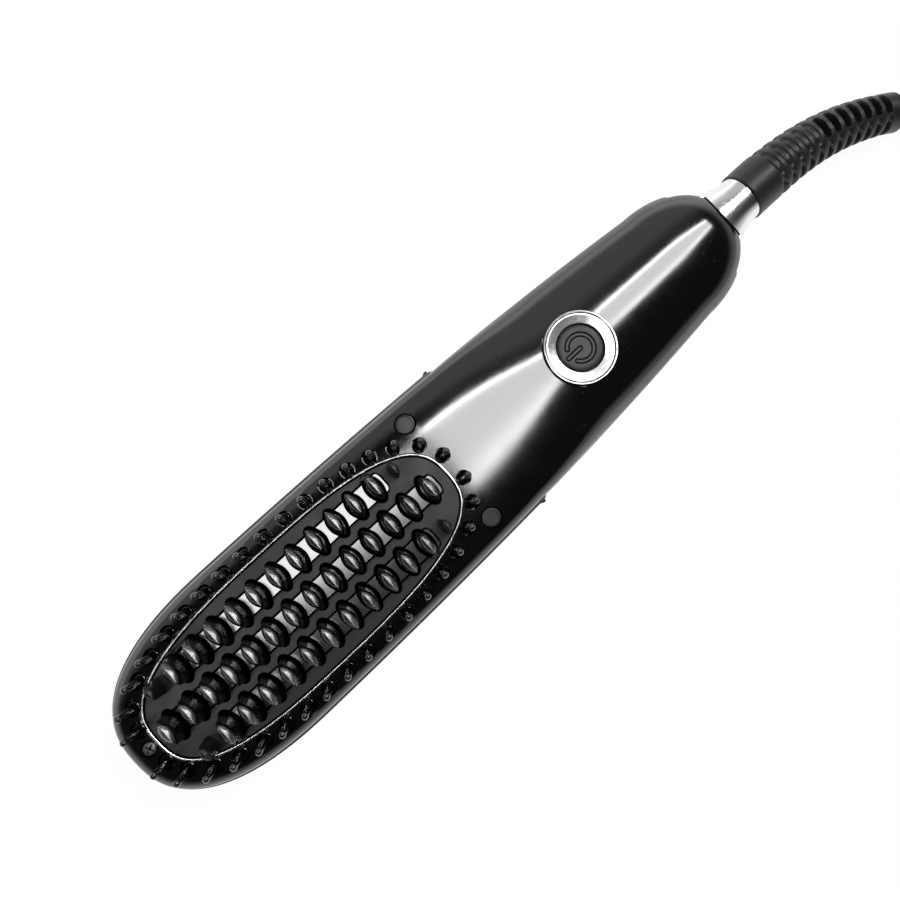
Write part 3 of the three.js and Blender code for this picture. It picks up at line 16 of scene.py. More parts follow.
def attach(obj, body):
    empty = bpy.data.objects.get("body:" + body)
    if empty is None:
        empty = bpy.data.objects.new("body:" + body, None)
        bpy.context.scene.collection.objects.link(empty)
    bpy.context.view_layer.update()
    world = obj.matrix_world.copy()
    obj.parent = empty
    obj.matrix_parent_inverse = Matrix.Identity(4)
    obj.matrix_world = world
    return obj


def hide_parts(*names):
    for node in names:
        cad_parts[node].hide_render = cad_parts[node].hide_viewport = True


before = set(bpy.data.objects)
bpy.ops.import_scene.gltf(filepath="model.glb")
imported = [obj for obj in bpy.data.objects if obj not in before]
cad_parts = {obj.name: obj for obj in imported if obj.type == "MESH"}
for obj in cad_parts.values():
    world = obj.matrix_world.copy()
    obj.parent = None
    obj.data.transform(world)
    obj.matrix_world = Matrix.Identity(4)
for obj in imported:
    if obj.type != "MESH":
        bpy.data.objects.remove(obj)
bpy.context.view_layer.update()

LOG = logging.getLogger("styling_brush")
MM = 0.001
WELD_DISTANCE = 1e-7
SPAN_STEPS = 24
ROUND_STEPS = 96
STROKE_END_STEPS = 8

Point = tuple[float, float, float]
Flat = tuple[float, float]


class Body(Enum):
    """The rigid bodies of the brush."""

    CASING = "casing"
    BUTTON = "button"
    CORD = "cord"


class Slot(Enum):
    """The finishes of the brush, by their names in the record."""

    SHELL = "shell_satin_black"
    COVER = "cover_gloss_black"
    PIN = "pin_black"
    PLATE = "plate_black"
    COMB = "comb_coated"
    CHROME = "chrome_trim"
    STEEL = "steel_zinc"
    PLUG_PIN = "brass_pins"
    BUTTON = "button_black"
    HEATER = "heater_ceramic"
    FILM = "film_amber"
    CLAMP = "clamp_steel"
    BOARD = "board_green"
    COMPONENT = "component_black"
    CAPACITOR = "capacitor_blue"
    LAMP = "lamp_clear"
    PLUNGER = "plunger_white"
    RED_LEAD = "lead_red"
    BLUE_LEAD = "lead_blue"
    WHITE_LEAD = "lead_white"
    CORD = "cord_black"


# Shader maths


def _operator(operation: str, reflected: bool = False) -> Callable[["Wire", Any], "Wire"]:
    """Makes one operator of a wire.

    Args:
        operation: The Math node's operation.
        reflected: Whether the wire stands behind the other value.

    Returns:
        The operator.
    """
    def apply(wire: "Wire", other: Any) -> "Wire":
        """Adds one Math node for a wire and a wire or a number."""
        first, second = (other, wire) if reflected else (wire, other)
        return wire.board.node("ShaderNodeMath", {"operation": operation}, {0: first, 1: second})

    return apply


class Wire:
    """An output socket that takes part in plain expressions."""

    def __init__(self, board: "Board", socket: bpy.types.NodeSocket) -> None:
        """Keeps the socket and the board that it is on."""
        self.board = board
        self.socket = socket

    __add__, __radd__ = _operator("ADD"), _operator("ADD", reflected=True)
    __sub__, __rsub__ = _operator("SUBTRACT"), _operator("SUBTRACT", reflected=True)
    __mul__, __rmul__ = _operator("MULTIPLY"), _operator("MULTIPLY", reflected=True)
    __truediv__, __rtruediv__ = _operator("DIVIDE"), _operator("DIVIDE", reflected=True)
    at_most, at_least = _operator("MINIMUM"), _operator("MAXIMUM")

    def ramp(self, low: float, high: float) -> "Wire":
        """Rises smoothly from 0 at low to 1 at high."""
        limits = {"Value": self, "From Min": low, "From Max": high}
        return self.board.node("ShaderNodeMapRange", {"interpolation_type": "SMOOTHSTEP"}, limits)


class Board:
    """One node tree, with one way to add a node."""

    def __init__(self, tree: bpy.types.NodeTree) -> None:
        """Starts from an empty tree."""
        self.tree = tree
        self.tree.nodes.clear()

    def node(self, kind: str, settings: dict[str, Any] | None = None,
             inputs: dict[Any, Any] | None = None, output: Any = 0) -> Wire:
        """Adds a node.

        Args:
            kind: The node's type.
            settings: Its properties.
            inputs: The values or wires of its sockets.
            output: The name or place of the output that is wanted.

        Returns:
            That output.
        """
        made = self.tree.nodes.new(kind)
        for key, value in (settings or {}).items():
            setattr(made, key, value)
        for key, value in (inputs or {}).items():
            if isinstance(value, Wire):
                self.tree.links.new(value.socket, made.inputs[key])
            else:
                made.inputs[key].default_value = value
        return Wire(self, made.outputs[output])

    def finish(self, kind: str, surface: Wire) -> None:
        """Ends the tree in an output node."""
        self.tree.links.new(surface.socket, self.tree.nodes.new(kind).inputs["Surface"])

    def place(self) -> Wire:
        """The point on the object, in metres."""
        return self.node("ShaderNodeTexCoord", output="Object")

    def axis(self, vector: Wire, axis: str) -> Wire:
        """One coordinate of a vector."""
        return self.node("ShaderNodeSeparateXYZ", {}, {"Vector": vector}, axis)

    def ray_is(self, kind: str) -> Wire:
        """1 where the ray is of a kind, and 0 elsewhere."""
        return self.node("ShaderNodeLightPath", output=f"Is {kind} Ray")

    def noise(self, size_mm: float, detail: float = 2.0) -> Wire:
        """Soft noise round 0.5, with blots of a size."""
        settings = {"Vector": self.place(), "Scale": 1.0 / (size_mm * MM), "Detail": detail}
        return self.node("ShaderNodeTexNoise", {}, settings, "Fac")

    def specks(self, spacing_mm: float, radius_mm: float) -> Wire:
        """Scattered specks, such as dust.

        Args:
            spacing_mm: The distance from one to the next.
            radius_mm: The size of the largest.

        Returns:
            1 on a speck and 0 between them.
        """
        cells = {"Vector": self.place(), "Scale": 1.0 / (spacing_mm * MM)}
        distance = self.node("ShaderNodeTexVoronoi", {}, cells, "Distance")
        here = self.noise(spacing_mm * 6, 1.0).ramp(0.5, 0.68)
        reach = radius_mm / spacing_mm
        return (1.0 - distance.ramp(reach * 0.6, reach)) * here

    def mix_colours(self, share: Any, first: Any, second: Any) -> Wire:
        """Mixes two colours, with a share of the second one."""
        return self.node("ShaderNodeMix", {"data_type": "RGBA"}, {0: share, 6: first, 7: second}, 2)

    def bump(self, height: Wire, depth_mm: float) -> Wire:
        """Turns a height from 0 to 1 into a normal."""
        return self.node("ShaderNodeBump", {}, {"Height": height, "Distance": depth_mm * MM})


@dataclass(frozen=True)
class Finish:
    """A moulded or plated surface with a grain, faint blots and perhaps a little dust."""

    colour: Point
    roughness: float
    spread: float = 0.05
    metallic: float = 0.0
    specular: float = 0.5
    grain_mm: float = 0.25
    grain_depth_mm: float = 0.004
    blot_mm: float = 6.0
    dust: float = 0.0
    blot_shade: float = 0.75
    dust_spacing_mm: float = 1.3
    dust_radius_mm: float = 0.09
    dust_grey: float = 0.5

    def material(self, slot: Slot) -> bpy.types.Material:
        """Makes the finish.

        Args:
            slot: The record's slot that it is for.

        Returns:
            The material.
        """
        made = bpy.data.materials.new(slot.value)
        made.use_nodes = True
        board = Board(made.node_tree)
        self.dress(board, board.noise(self.blot_mm, 3.0), board.noise(self.grain_mm, 2.0))
        return made

    def dress(self, board: Board, blots: Wire, grain: Wire) -> None:
        """Wires the shader.

        Args:
            board: The material's tree.
            blots: Wide, faint noise.
            grain: Fine noise.
        """
        dark = tuple(channel * self.blot_shade for channel in self.colour)
        colour = board.mix_colours(blots.ramp(0.35, 0.65), (*dark, 1.0), (*self.colour, 1.0))
        rough = (blots - 0.5) * self.spread * 2.0 + (grain - 0.5) * self.spread + self.roughness
        if self.dust > 0:
            specks = board.specks(self.dust_spacing_mm, self.dust_radius_mm) * self.dust
            colour = board.mix_colours(specks, colour, (*[self.dust_grey] * 3, 1.0))
            rough = rough + specks * 0.5
        colour, rough = self.layers(board, colour, rough.at_least(0.02).at_most(1.0))
        links = {"Base Color": colour, "Roughness": rough}
        if self.grain_depth_mm > 0:
            links["Normal"] = board.bump(grain, self.grain_depth_mm)
        constants = {"Metallic": self.metallic, "Specular IOR Level": self.specular}
        shader = board.node("ShaderNodeBsdfPrincipled", {}, {**constants, **links})
        board.finish("ShaderNodeOutputMaterial", shader)

    def layers(self, board: Board, colour: Wire, rough: Wire) -> tuple[Wire, Wire]:
        """What lies over the plain surface: nothing, unless a finish has more."""
        return colour, rough


@dataclass(frozen=True)
class CombFinish(Finish):
    """Coated metal: bright on the pads' tops, and matt with a painted near-black shade on the floor between
    the teeth.
    """

    painted_shade_colour: Point = (0.003, 0.003, 0.003)
    floor_roughness: float = 0.65
    pad_colour: Point = (0.13, 0.13, 0.135)
    pad_roughness: float = 0.13
    pad_level_mm: float = 27.3

    def layers(self, board: Board, colour: Wire, rough: Wire) -> tuple[Wire, Wire]:
        """Works out where the pads and the floor are from the height.

        Args:
            board: The material's tree.
            colour: The teeth's colour.
            rough: The teeth's roughness.

        Returns:
            The colour and the roughness all over.
        """
        height = board.axis(board.place(), "Z") / MM
        above = height.ramp(self.pad_level_mm - 0.2, self.pad_level_mm - 0.02)
        pad = above * (1.0 - height.ramp(self.pad_level_mm + 0.12, self.pad_level_mm + 0.3))
        # painted shade: everything below the pads, the comb's floor and the lower teeth, takes a near-black
        # colour
        colour = board.mix_colours(above, (*self.painted_shade_colour, 1.0), colour)
        colour = board.mix_colours(pad, colour, (*self.pad_colour, 1.0))
        matt = rough * above + (1.0 - above) * self.floor_roughness
        return colour, matt * (1.0 - pad) + pad * self.pad_roughness


FINISHES: dict[Slot, Finish] = {
    Slot.SHELL: Finish((0.014, 0.014, 0.015), 0.3, grain_mm=0.3, grain_depth_mm=0.003, dust=0.4),
    Slot.COVER: Finish((0.004, 0.004, 0.0045), 0.1, 0.02, specular=1.0, grain_mm=0.3,
                       grain_depth_mm=0.003, dust=0.6),
    Slot.PIN: Finish((0.005, 0.005, 0.005), 0.16, specular=1.0, grain_depth_mm=0.001),
    Slot.PLATE: Finish((0.009, 0.009, 0.01), 0.34, 0.13, specular=0.35, grain_mm=0.16, grain_depth_mm=0.004,
                       dust=0.3),
    Slot.COMB: CombFinish((0.19, 0.19, 0.195), 0.27, 0.05, 1.0, grain_mm=0.5, grain_depth_mm=0.001),
    Slot.CHROME: Finish((0.86, 0.87, 0.88), 0.2, 0.04, 1.0, grain_mm=0.8, grain_depth_mm=0.0006,
                        blot_shade=0.96),
    Slot.STEEL: Finish((0.24, 0.24, 0.25), 0.42, 0.08, 1.0, grain_mm=0.15, blot_mm=1.5),
    Slot.PLUG_PIN: Finish((0.66, 0.64, 0.6), 0.22, 0.06, 1.0, grain_mm=0.2, grain_depth_mm=0.001),
    Slot.BUTTON: Finish((0.03, 0.03, 0.031), 0.45, grain_mm=0.14, grain_depth_mm=0.006),
    Slot.HEATER: Finish((0.72, 0.69, 0.62), 0.6, grain_mm=0.2, blot_shade=0.9),
    Slot.FILM: Finish((0.42, 0.2, 0.04), 0.3, grain_mm=0.6, grain_depth_mm=0.002),
    Slot.CLAMP: Finish((0.48, 0.49, 0.5), 0.35, 0.1, 1.0, grain_mm=0.2, blot_mm=3.0),
    Slot.BOARD: Finish((0.02, 0.14, 0.07), 0.4, grain_mm=0.4, blot_mm=2.0),
    Slot.COMPONENT: Finish((0.03, 0.03, 0.03), 0.5, grain_mm=0.2),
    Slot.CAPACITOR: Finish((0.02, 0.06, 0.22), 0.25, grain_mm=0.5),
    Slot.LAMP: Finish((0.85, 0.85, 0.8), 0.3, grain_mm=0.5, blot_shade=0.95),
    Slot.PLUNGER: Finish((0.75, 0.75, 0.72), 0.5, grain_mm=0.3, blot_shade=0.93),
    Slot.RED_LEAD: Finish((0.35, 0.02, 0.015), 0.45, grain_mm=0.3),
    Slot.BLUE_LEAD: Finish((0.02, 0.06, 0.25), 0.45, grain_mm=0.3),
    Slot.WHITE_LEAD: Finish((0.7, 0.7, 0.66), 0.45, grain_mm=0.3, blot_shade=0.93),
    Slot.CORD: Finish((0.012, 0.012, 0.012), 0.42, 0.06, grain_mm=0.35, grain_depth_mm=0.006,
                      dust=0.3),
}


class Paintbox:
    """Makes each finish once and puts it on pieces."""

    def __init__(self) -> None:
        """Starts with no finish made."""
        self._made: dict[Slot, bpy.types.Material] = {}

    def finish(self, slot: Slot) -> bpy.types.Material:
        """The material of a slot.

        Args:
            slot: The finish that is wanted.

        Returns:
            The material, made when it is first asked for.
        """
        if slot not in self._made:
            self._made[slot] = FINISHES[slot].material(slot)
        return self._made[slot]

    def paint(self, piece: bpy.types.Object, slot: Slot) -> None:
        """Gives a piece one finish all over."""
        piece.data.materials.clear()
        piece.data.materials.append(self.finish(slot))


PAINT = Paintbox()


# Forms, in millimetres


def added(name: str, data: bpy.types.ID) -> bpy.types.Object:
    """Puts data into the scene as an object.

    Args:
        name: The object's name.
        data: A mesh, a curve, a camera or a lamp.

    Returns:
        The object.
    """
    made = bpy.data.objects.new(name, data)
    bpy.context.scene.collection.objects.link(made)
    return made


@dataclass
class Form:
    """Points and faces of one piece, in millimetres."""

    points: list[Point] = field(default_factory=list)
    faces: list[tuple[int, ...]] = field(default_factory=list)

    def join(self, other: "Form", shift: Point = (0.0, 0.0, 0.0)) -> "Form":
        """Adds another form.

        Args:
            other: The form to add.
            shift: How far it is moved.

        Returns:
            This form.
        """
        start = len(self.points)
        self.points += [tuple(c + s for c, s in zip(point, shift)) for point in other.points]
        self.faces += [tuple(start + corner for corner in face) for face in other.faces]
        return self

    def piece(self, name: str, sharp_degrees: float = 35.0) -> bpy.types.Object:
        """Makes a Blender object in metres.

        Args:
            name: The object's name.
            sharp_degrees: The angle from which an edge is drawn sharp.

        Returns:
            The object.
        """
        mesh = bpy.data.meshes.new(name)
        mesh.from_pydata([tuple(c * MM for c in point) for point in self.points], [], self.faces)
        work = bmesh.new()
        work.from_mesh(mesh)
        bmesh.ops.remove_doubles(work, verts=work.verts, dist=WELD_DISTANCE)
        bmesh.ops.dissolve_degenerate(work, edges=work.edges, dist=WELD_DISTANCE)
        bmesh.ops.recalc_face_normals(work, faces=work.faces)
        work.to_mesh(mesh)
        work.free()
        return shaded(added(name, mesh), sharp_degrees)


def shaded(piece: bpy.types.Object, sharp_degrees: float) -> bpy.types.Object:
    """Shades a piece smooth, with sharp edges from an angle on.

    Args:
        piece: The piece.
        sharp_degrees: The angle from which an edge is drawn sharp.

    Returns:
        The piece.
    """
    piece.data.shade_smooth()
    piece.data.set_sharp_from_angle(angle=math.radians(sharp_degrees))
    return piece


def applied(piece: bpy.types.Object, name: str, sharp_degrees: float = 35.0) -> bpy.types.Object:
    """Replaces a piece by a plain mesh with its modifiers or its curve worked in.

    Args:
        piece: A mesh with modifiers, or a curve.
        name: The new piece's name.
        sharp_degrees: The angle from which an edge is drawn sharp.

    Returns:
        The plain mesh object.
    """
    bpy.context.view_layer.update()
    depsgraph = bpy.context.evaluated_depsgraph_get()
    mesh = bpy.data.meshes.new_from_object(piece.evaluated_get(depsgraph))
    bpy.data.objects.remove(piece)
    mesh.name = name
    return shaded(added(name, mesh), sharp_degrees)


def carve(piece: bpy.types.Object, *tools: Form | bpy.types.Object,
          sharp_degrees: float = 35.0) -> bpy.types.Object:
    """Cuts forms or other pieces out of a piece, one after the other.

    Args:
        piece: The piece to cut.
        tools: What is taken away. The tools that are pieces go.
        sharp_degrees: The angle from which an edge is drawn sharp.

    Returns:
        The cut piece.
    """
    name = piece.name
    knives = [tool.piece(f"{name}_tool_{i}") if isinstance(tool, Form) else tool
              for i, tool in enumerate(tools)]
    for knife in knives:
        cut = piece.modifiers.new("cut", "BOOLEAN")
        cut.operation, cut.solver, cut.object = "DIFFERENCE", "EXACT", knife
    piece.name = name + "_blank"
    made = applied(piece, name, sharp_degrees)
    for knife in knives:
        bpy.data.objects.remove(knife)
    return made


def loft(rings: Sequence[Sequence[Point]], closed_ends: bool = True) -> Form:
    """Joins rings of equal length into a skin.

    Args:
        rings: The rings, in order.
        closed_ends: Whether the first and last ring are filled.

    Returns:
        The form.
    """
    size = len(rings[0])
    form = Form([point for ring in rings for point in ring])
    for r in range(len(rings) - 1):
        for i in range(size):
            j = (i + 1) % size
            form.faces.append((r * size + i, r * size + j, (r + 1) * size + j, (r + 1) * size + i))
    if closed_ends:
        last = (len(rings) - 1) * size
        form.faces.append(tuple(reversed(range(size))))
        form.faces.append(tuple(range(last, last + size)))
    return form


def all_round(count: int) -> list[float]:
    """Even angles of a full turn."""
    return [2 * math.pi * i / count for i in range(count)]


def turned(profile: Sequence[Flat], steps: int = 32, at: Flat = (0.0, 0.0)) -> Form:
    """Turns a profile round an upright axis.

    Args:
        profile: Radius and height of each point, from the axis to the axis or round to its start.
        steps: How many sides a turn has.
        at: Where the axis stands.

    Returns:
        The form.
    """
    rings = [[(at[0] + radius * math.cos(a), at[1] + radius * math.sin(a), height) for a in all_round(steps)]
             for radius, height in profile]
    return loft(rings, closed_ends=False)


def rod(radius: float, low: float, high: float, at: Flat, steps: int = 24) -> Form:
    """An upright rod."""
    return turned([(0, low), (radius, low), (radius, high), (0, high)], steps, at)


def stack(levels: Iterable[tuple[Sequence[Flat], float]], closed_ends: bool = True) -> Form:
    """Joins flat outlines, each at its height, into a skin."""
    return loft([[(x, y, z) for x, y in outline] for outline, z in levels], closed_ends)


def prism(outline: Sequence[Flat], low: float, high: float) -> Form:
    """A flat outline drawn up from one height to another."""
    return stack([(outline, low), (outline, high)])


def block(low: Point, high: Point) -> Form:
    """A box between two corners."""
    (x0, y0, z0), (x1, y1, z1) = low, high
    return prism([(x0, y0), (x1, y0), (x1, y1), (x0, y1)], z0, z1)


def beyond(rear_of: float = -200.0, above: float = -20.0, below: float = 60.0) -> Form:
    """A block over all of the brush that lies behind a place and between two heights."""
    return block((rear_of, -60.0, above), (200.0, 60.0, below))


def mirrored(upper: Sequence[Flat], across: float) -> list[Flat]:
    """A closed outline from the places and half widths along its middle line."""
    return [(x, across + half) for x, half in upper] + [(x, across - half) for x, half in reversed(upper)]


def slab(outlines: Sequence[Sequence[Flat]], low: float, high: float, edge: float,
         name: str) -> bpy.types.Object:
    """A flat piece with holes and rounded edges.

    Args:
        outlines: The outer outline and those of the holes.
        low: Its lower height.
        high: Its upper height.
        edge: The radius of its edges.
        name: The piece's name.

    Returns:
        The piece.
    """
    curve = bpy.data.curves.new(name + "_outline", "CURVE")
    curve.dimensions = "2D"
    curve.fill_mode = "BOTH"
    for outline in outlines:
        spline = curve.splines.new("POLY")
        spline.points.add(len(outline) - 1)
        for point, (x, y) in zip(spline.points, outline):
            point.co = (x * MM, y * MM, 0.0, 1.0)
        spline.use_cyclic_u = True
    curve.extrude = ((high - low) / 2 - edge) * MM
    curve.bevel_depth = edge * MM
    curve.bevel_resolution = 2
    curve.offset = -edge * MM
    made = applied(added(name + "_outline", curve), name, 40.0)
    made.data.transform(Matrix.Translation((0, 0, (high + low) / 2 * MM)))
    return made


def merged(name: str, pieces: Iterable[bpy.types.Object], sharp_degrees: float = 35.0) -> bpy.types.Object:
    """Joins pieces into one object.

    Args:
        name: The joined piece's name.
        pieces: The pieces, which go.
        sharp_degrees: The angle from which an edge is drawn sharp.

    Returns:
        The joined piece.
    """
    work = bmesh.new()
    for piece in pieces:
        work.from_mesh(piece.data)
        bpy.data.objects.remove(piece)
    mesh = bpy.data.meshes.new(name)
    work.to_mesh(mesh)
    work.free()
    return shaded(added(name, mesh), sharp_degrees)


def oval_share(angle: float, roundness: float) -> Flat:
    """A point of a unit superellipse, seen from its centre at an angle.

    Args:
        angle: The angle, in radians.
        roundness: The exponent.

    Returns:
        Its two coordinates.
    """
    c, s = math.cos(angle), math.sin(angle)
    reach = (abs(c) ** roundness + abs(s) ** roundness) ** (-1 / roundness)
    return c * reach, s * reach


def ease(x: float, start: float, end: float) -> float:
    """A smooth step from 0 to 1."""
    share = min(1.0, max(0.0, (x - start) / (end - start)))
    return share * share * (3 - 2 * share)


def ripple(angle: float) -> float:
    """A wave between 0 and 1."""
    return 0.5 - 0.5 * math.cos(angle)


def between(a: float, b: float, share: float) -> float:
    """A value part of the way from a to b."""
    return a + (b - a) * share


def through(points: Sequence[Point | Vector], count: int) -> list[Vector]:
    """Even points of a smooth curve through given points.

    Args:
        points: The points that it passes.
        count: How many points are wanted.

    Returns:
        The curve's points.
    """
    given = [Vector(p) for p in points]
    given = [2 * given[0] - given[1], *given, 2 * given[-1] - given[-2]]
    fine = [_span(given[i - 1:i + 3], step / SPAN_STEPS)
            for i in range(1, len(given) - 2) for step in range(SPAN_STEPS)]
    return evenly([*fine, given[-2]], count)


def _span(four: Sequence[Vector], share: float) -> Vector:
    """A point of a centripetal curve between the second and third of four points.

    Args:
        four: The four points.
        share: How far along it lies, from 0 to 1.

    Returns:
        The point.
    """
    knots = [0.0]
    for a, b in zip(four, four[1:]):
        knots.append(knots[-1] + math.sqrt((b - a).length))
    t = knots[1] + (knots[2] - knots[1]) * share

    def mix(a: Vector, b: Vector, start: float, end: float) -> Vector:
        """A point between two knots."""
        return a * ((end - t) / (end - start)) + b * ((t - start) / (end - start))

    first = [mix(four[i], four[i + 1], knots[i], knots[i + 1]) for i in range(3)]
    second = [mix(first[i], first[i + 1], knots[i], knots[i + 2]) for i in range(2)]
    return mix(second[0], second[1], knots[1], knots[2])


def evenly(points: Sequence[Vector], count: int) -> list[Vector]:
    """Points at equal steps along a line.

    Args:
        points: The line's points.
        count: How many points are wanted.

    Returns:
        The even points.
    """
    lengths = marks(points)
    found: list[Vector] = []
    at = 0
    for i in range(count):
        wanted = lengths[-1] * i / (count - 1)
        while at < len(points) - 2 and lengths[at + 1] < wanted:
            at += 1
        share = (wanted - lengths[at]) / max(1e-9, lengths[at + 1] - lengths[at])
        found.append(points[at].lerp(points[at + 1], min(1.0, share)))
    return found


def level(way: Vector) -> Vector:
    """A direction without its climb."""
    return Vector((way.x, way.y, 0.0)).normalized()


def marks(points: Sequence[Vector]) -> list[float]:
    """The distance of each point along a line of points."""
    return [*accumulate(((b - a).length for a, b in zip(points, points[1:])), initial=0.0)]


def sweep(line: Sequence[Vector], outline: Callable[[float, float], float], sides: int) -> Form:
    """A round body along a line, with a radius that may change over it.

    Args:
        line: The centre line.
        outline: Gives the radius from the distance along the line and the angle from the top.
        sides: How many sides a ring has.

    Returns:
        The form.
    """
    rings = []
    for i, (centre, along) in enumerate(zip(line, marks(line))):
        ahead = line[min(i + 1, len(line) - 1)] - line[max(i - 1, 0)]
        forward = ahead.normalized()
        side = Vector((0, 0, 1)).cross(forward).normalized()
        over = forward.cross(side)
        ring = []
        for angle in all_round(sides):
            reach = outline(along, angle)
            ring.append(tuple(centre + over * (reach * math.cos(angle)) + side * (reach * math.sin(angle))))
        rings.append(ring)
    return loft(rings)


# The casing's form


@dataclass
class CasingForm:
    """The casing: level rings round a spine, flat over the head and round over the handle."""

    length: float = 226.2
    overall: float = 233.7
    face_height: float = 28.0
    rear_height: float = 26.0
    head_width: float = 51.2
    neck_width: float = 48.4
    tail_width: float = 37.6
    ledge: float = 0.8
    plate_from_tip: float = 60.2
    plugs_from_tip: float = 111.7
    step_from_tip: float = 127.0
    button_from_tip: float = 161.8
    screw_from_tip: float = 7.2
    collar_from_tip: float = 214.6
    tip_cap: float = 46.7
    rear_cap: float = 25.3
    tip_roundness: float = 2.5
    rear_roundness: float = 2.1
    head_crown: float = 6.0
    handle_crown: float = 2.5
    belly_roundness: float = 2.8
    taper: float = 1.55
    head_equator: float = 17.0
    tail_equator: float = 14.5
    belly_sink: float = 1.2
    tail_rise: float = 4.2
    step_run: float = 1.5
    cap_steps: int = 40
    side_steps: int = 36
    crown_levels: int = 22
    belly_levels: int = 12

    def __post_init__(self) -> None:
        """Works out the places along the casing."""
        self.tip_x = -self.overall / 2
        self.end_x = self.tip_x + self.length
        self.front = self.tip_x + self.tip_cap
        self.rear = self.end_x - self.rear_cap
        self.plate_x = self.tip_x + self.plate_from_tip
        self.plug_x = self.tip_x + self.plugs_from_tip
        self.step_x = self.tip_x + self.step_from_tip
        self.button_x = self.tip_x + self.button_from_tip
        self.tip_screw_x = self.tip_x + self.screw_from_tip
        self.collar_x = self.tip_x + self.collar_from_tip
        self.collar_end_x = self.overall / 2

    def half_width(self, x: float) -> float:
        """Half the width at a place on the spine.

        Args:
            x: The place on the spine.

        Returns:
            The half width.
        """
        if x <= self.step_x:
            along = (x - self.front) / (self.step_x - self.front)
            return self.head_width / 2 - (self.head_width - self.neck_width) / 2 * along ** 2
        front = self.neck_width / 2 - self.ledge
        start = self.step_x + self.step_run
        along = max(0.0, (x - start) / (self.rear - start))
        return front - (front - self.tail_width / 2) * along ** self.taper

    def top(self, x: float) -> float:
        """The height of the face at a place on the spine."""
        return between(self.face_height, self.rear_height, ease(x, self.plug_x, self.rear))

    def equator(self, x: float) -> float:
        """The height of the widest level at a place on the spine."""
        along = (x - self.front) / (self.rear - self.front)
        return between(self.head_equator, self.tail_equator, along)

    def bottom(self, x: float) -> float:
        """The height of the belly at a place on the spine, before it is flattened."""
        return -self.belly_sink + self.tail_rise * ease(x, self.button_x, self.rear)

    def crown(self, x: float) -> float:
        """How square the upper half is at a place on the spine."""
        return between(self.head_crown, self.handle_crown, ease(x, self.plug_x, self.button_x))

    def half_outline(self, inset: float, ledge: float) -> list[tuple[float, float, float]]:
        """One side of the plan: the place on the spine, x and y of each point, tip first.

        Args:
            inset: How far inside the outer form it lies.
            ledge: How much narrower the head is.

        Returns:
            The points.
        """
        places = []
        width = self.half_width(self.front) - inset - ledge
        for i in range(self.cap_steps):
            c, s = oval_share(math.pi / 2 * i / self.cap_steps, self.tip_roundness)
            places.append((self.front, self.front - (self.tip_cap - inset - ledge) * c, width * s))
        for i in range(self.side_steps + 1):
            x = between(self.front, self.step_x, i / self.side_steps)
            places.append((x, x, self.half_width(x) - inset - ledge))
        for i in range(self.side_steps):
            x = between(self.step_x + self.step_run, self.rear, i / self.side_steps)
            places.append((x, x, self.half_width(x) - inset))
        width = self.half_width(self.rear) - inset
        for i in range(self.cap_steps, -1, -1):
            c, s = oval_share(math.pi / 2 * i / self.cap_steps, self.rear_roundness)
            places.append((self.rear, self.rear + (self.rear_cap - inset) * c, width * s))
        return places

    def point(self, place: tuple[float, float, float], side: int, angle: float, inset: float,
              extra: float) -> Point:
        """A point of the form.

        Args:
            place: Place on the spine, x and y of the plan's point.
            side: 1 or -1, for the two sides.
            angle: The level's angle, from -pi/2 at the belly to pi/2 at the face.
            inset: How far inside the outer form it lies.
            extra: How much squarer the crown is than the outer one.

        Returns:
            The point.
        """
        foot, x, y = place
        round_by = self.belly_roundness if angle < 0 else self.crown(foot) + extra
        outward, upward = oval_share(abs(angle), round_by)
        if abs(abs(angle) - math.pi / 2) < 1e-6:
            outward = 0.0
        limit = self.bottom(foot) + inset if angle < 0 else self.top(foot) - inset
        middle = self.equator(foot)
        height = max(middle + (limit - middle) * upward, inset)
        return foot + (x - foot) * outward, side * y * outward, height

    def form(self, inset: float = 0.0, ledge: float = 0.0, extra: float = 0.0) -> Form:
        """The closed form.

        Args:
            inset: How far inside the outer form it lies.
            ledge: How much narrower the head is.
            extra: How much squarer the crown is.

        Returns:
            The form.
        """
        half = self.half_outline(inset, ledge)
        up = [math.pi / 2 * (1 - i / self.crown_levels) for i in range(self.crown_levels)]
        down = [-math.pi / 2 * i / self.belly_levels for i in range(self.belly_levels + 1)]
        rings = []
        for angle in [*up, *down]:
            left = [self.point(place, 1, angle, inset, extra) for place in half]
            right = [self.point(place, -1, angle, inset, extra) for place in half[1:-1]]
            rings.append([*left, *reversed(right)])
        return loft(rings, closed_ends=False)


SHAPE = CasingForm()


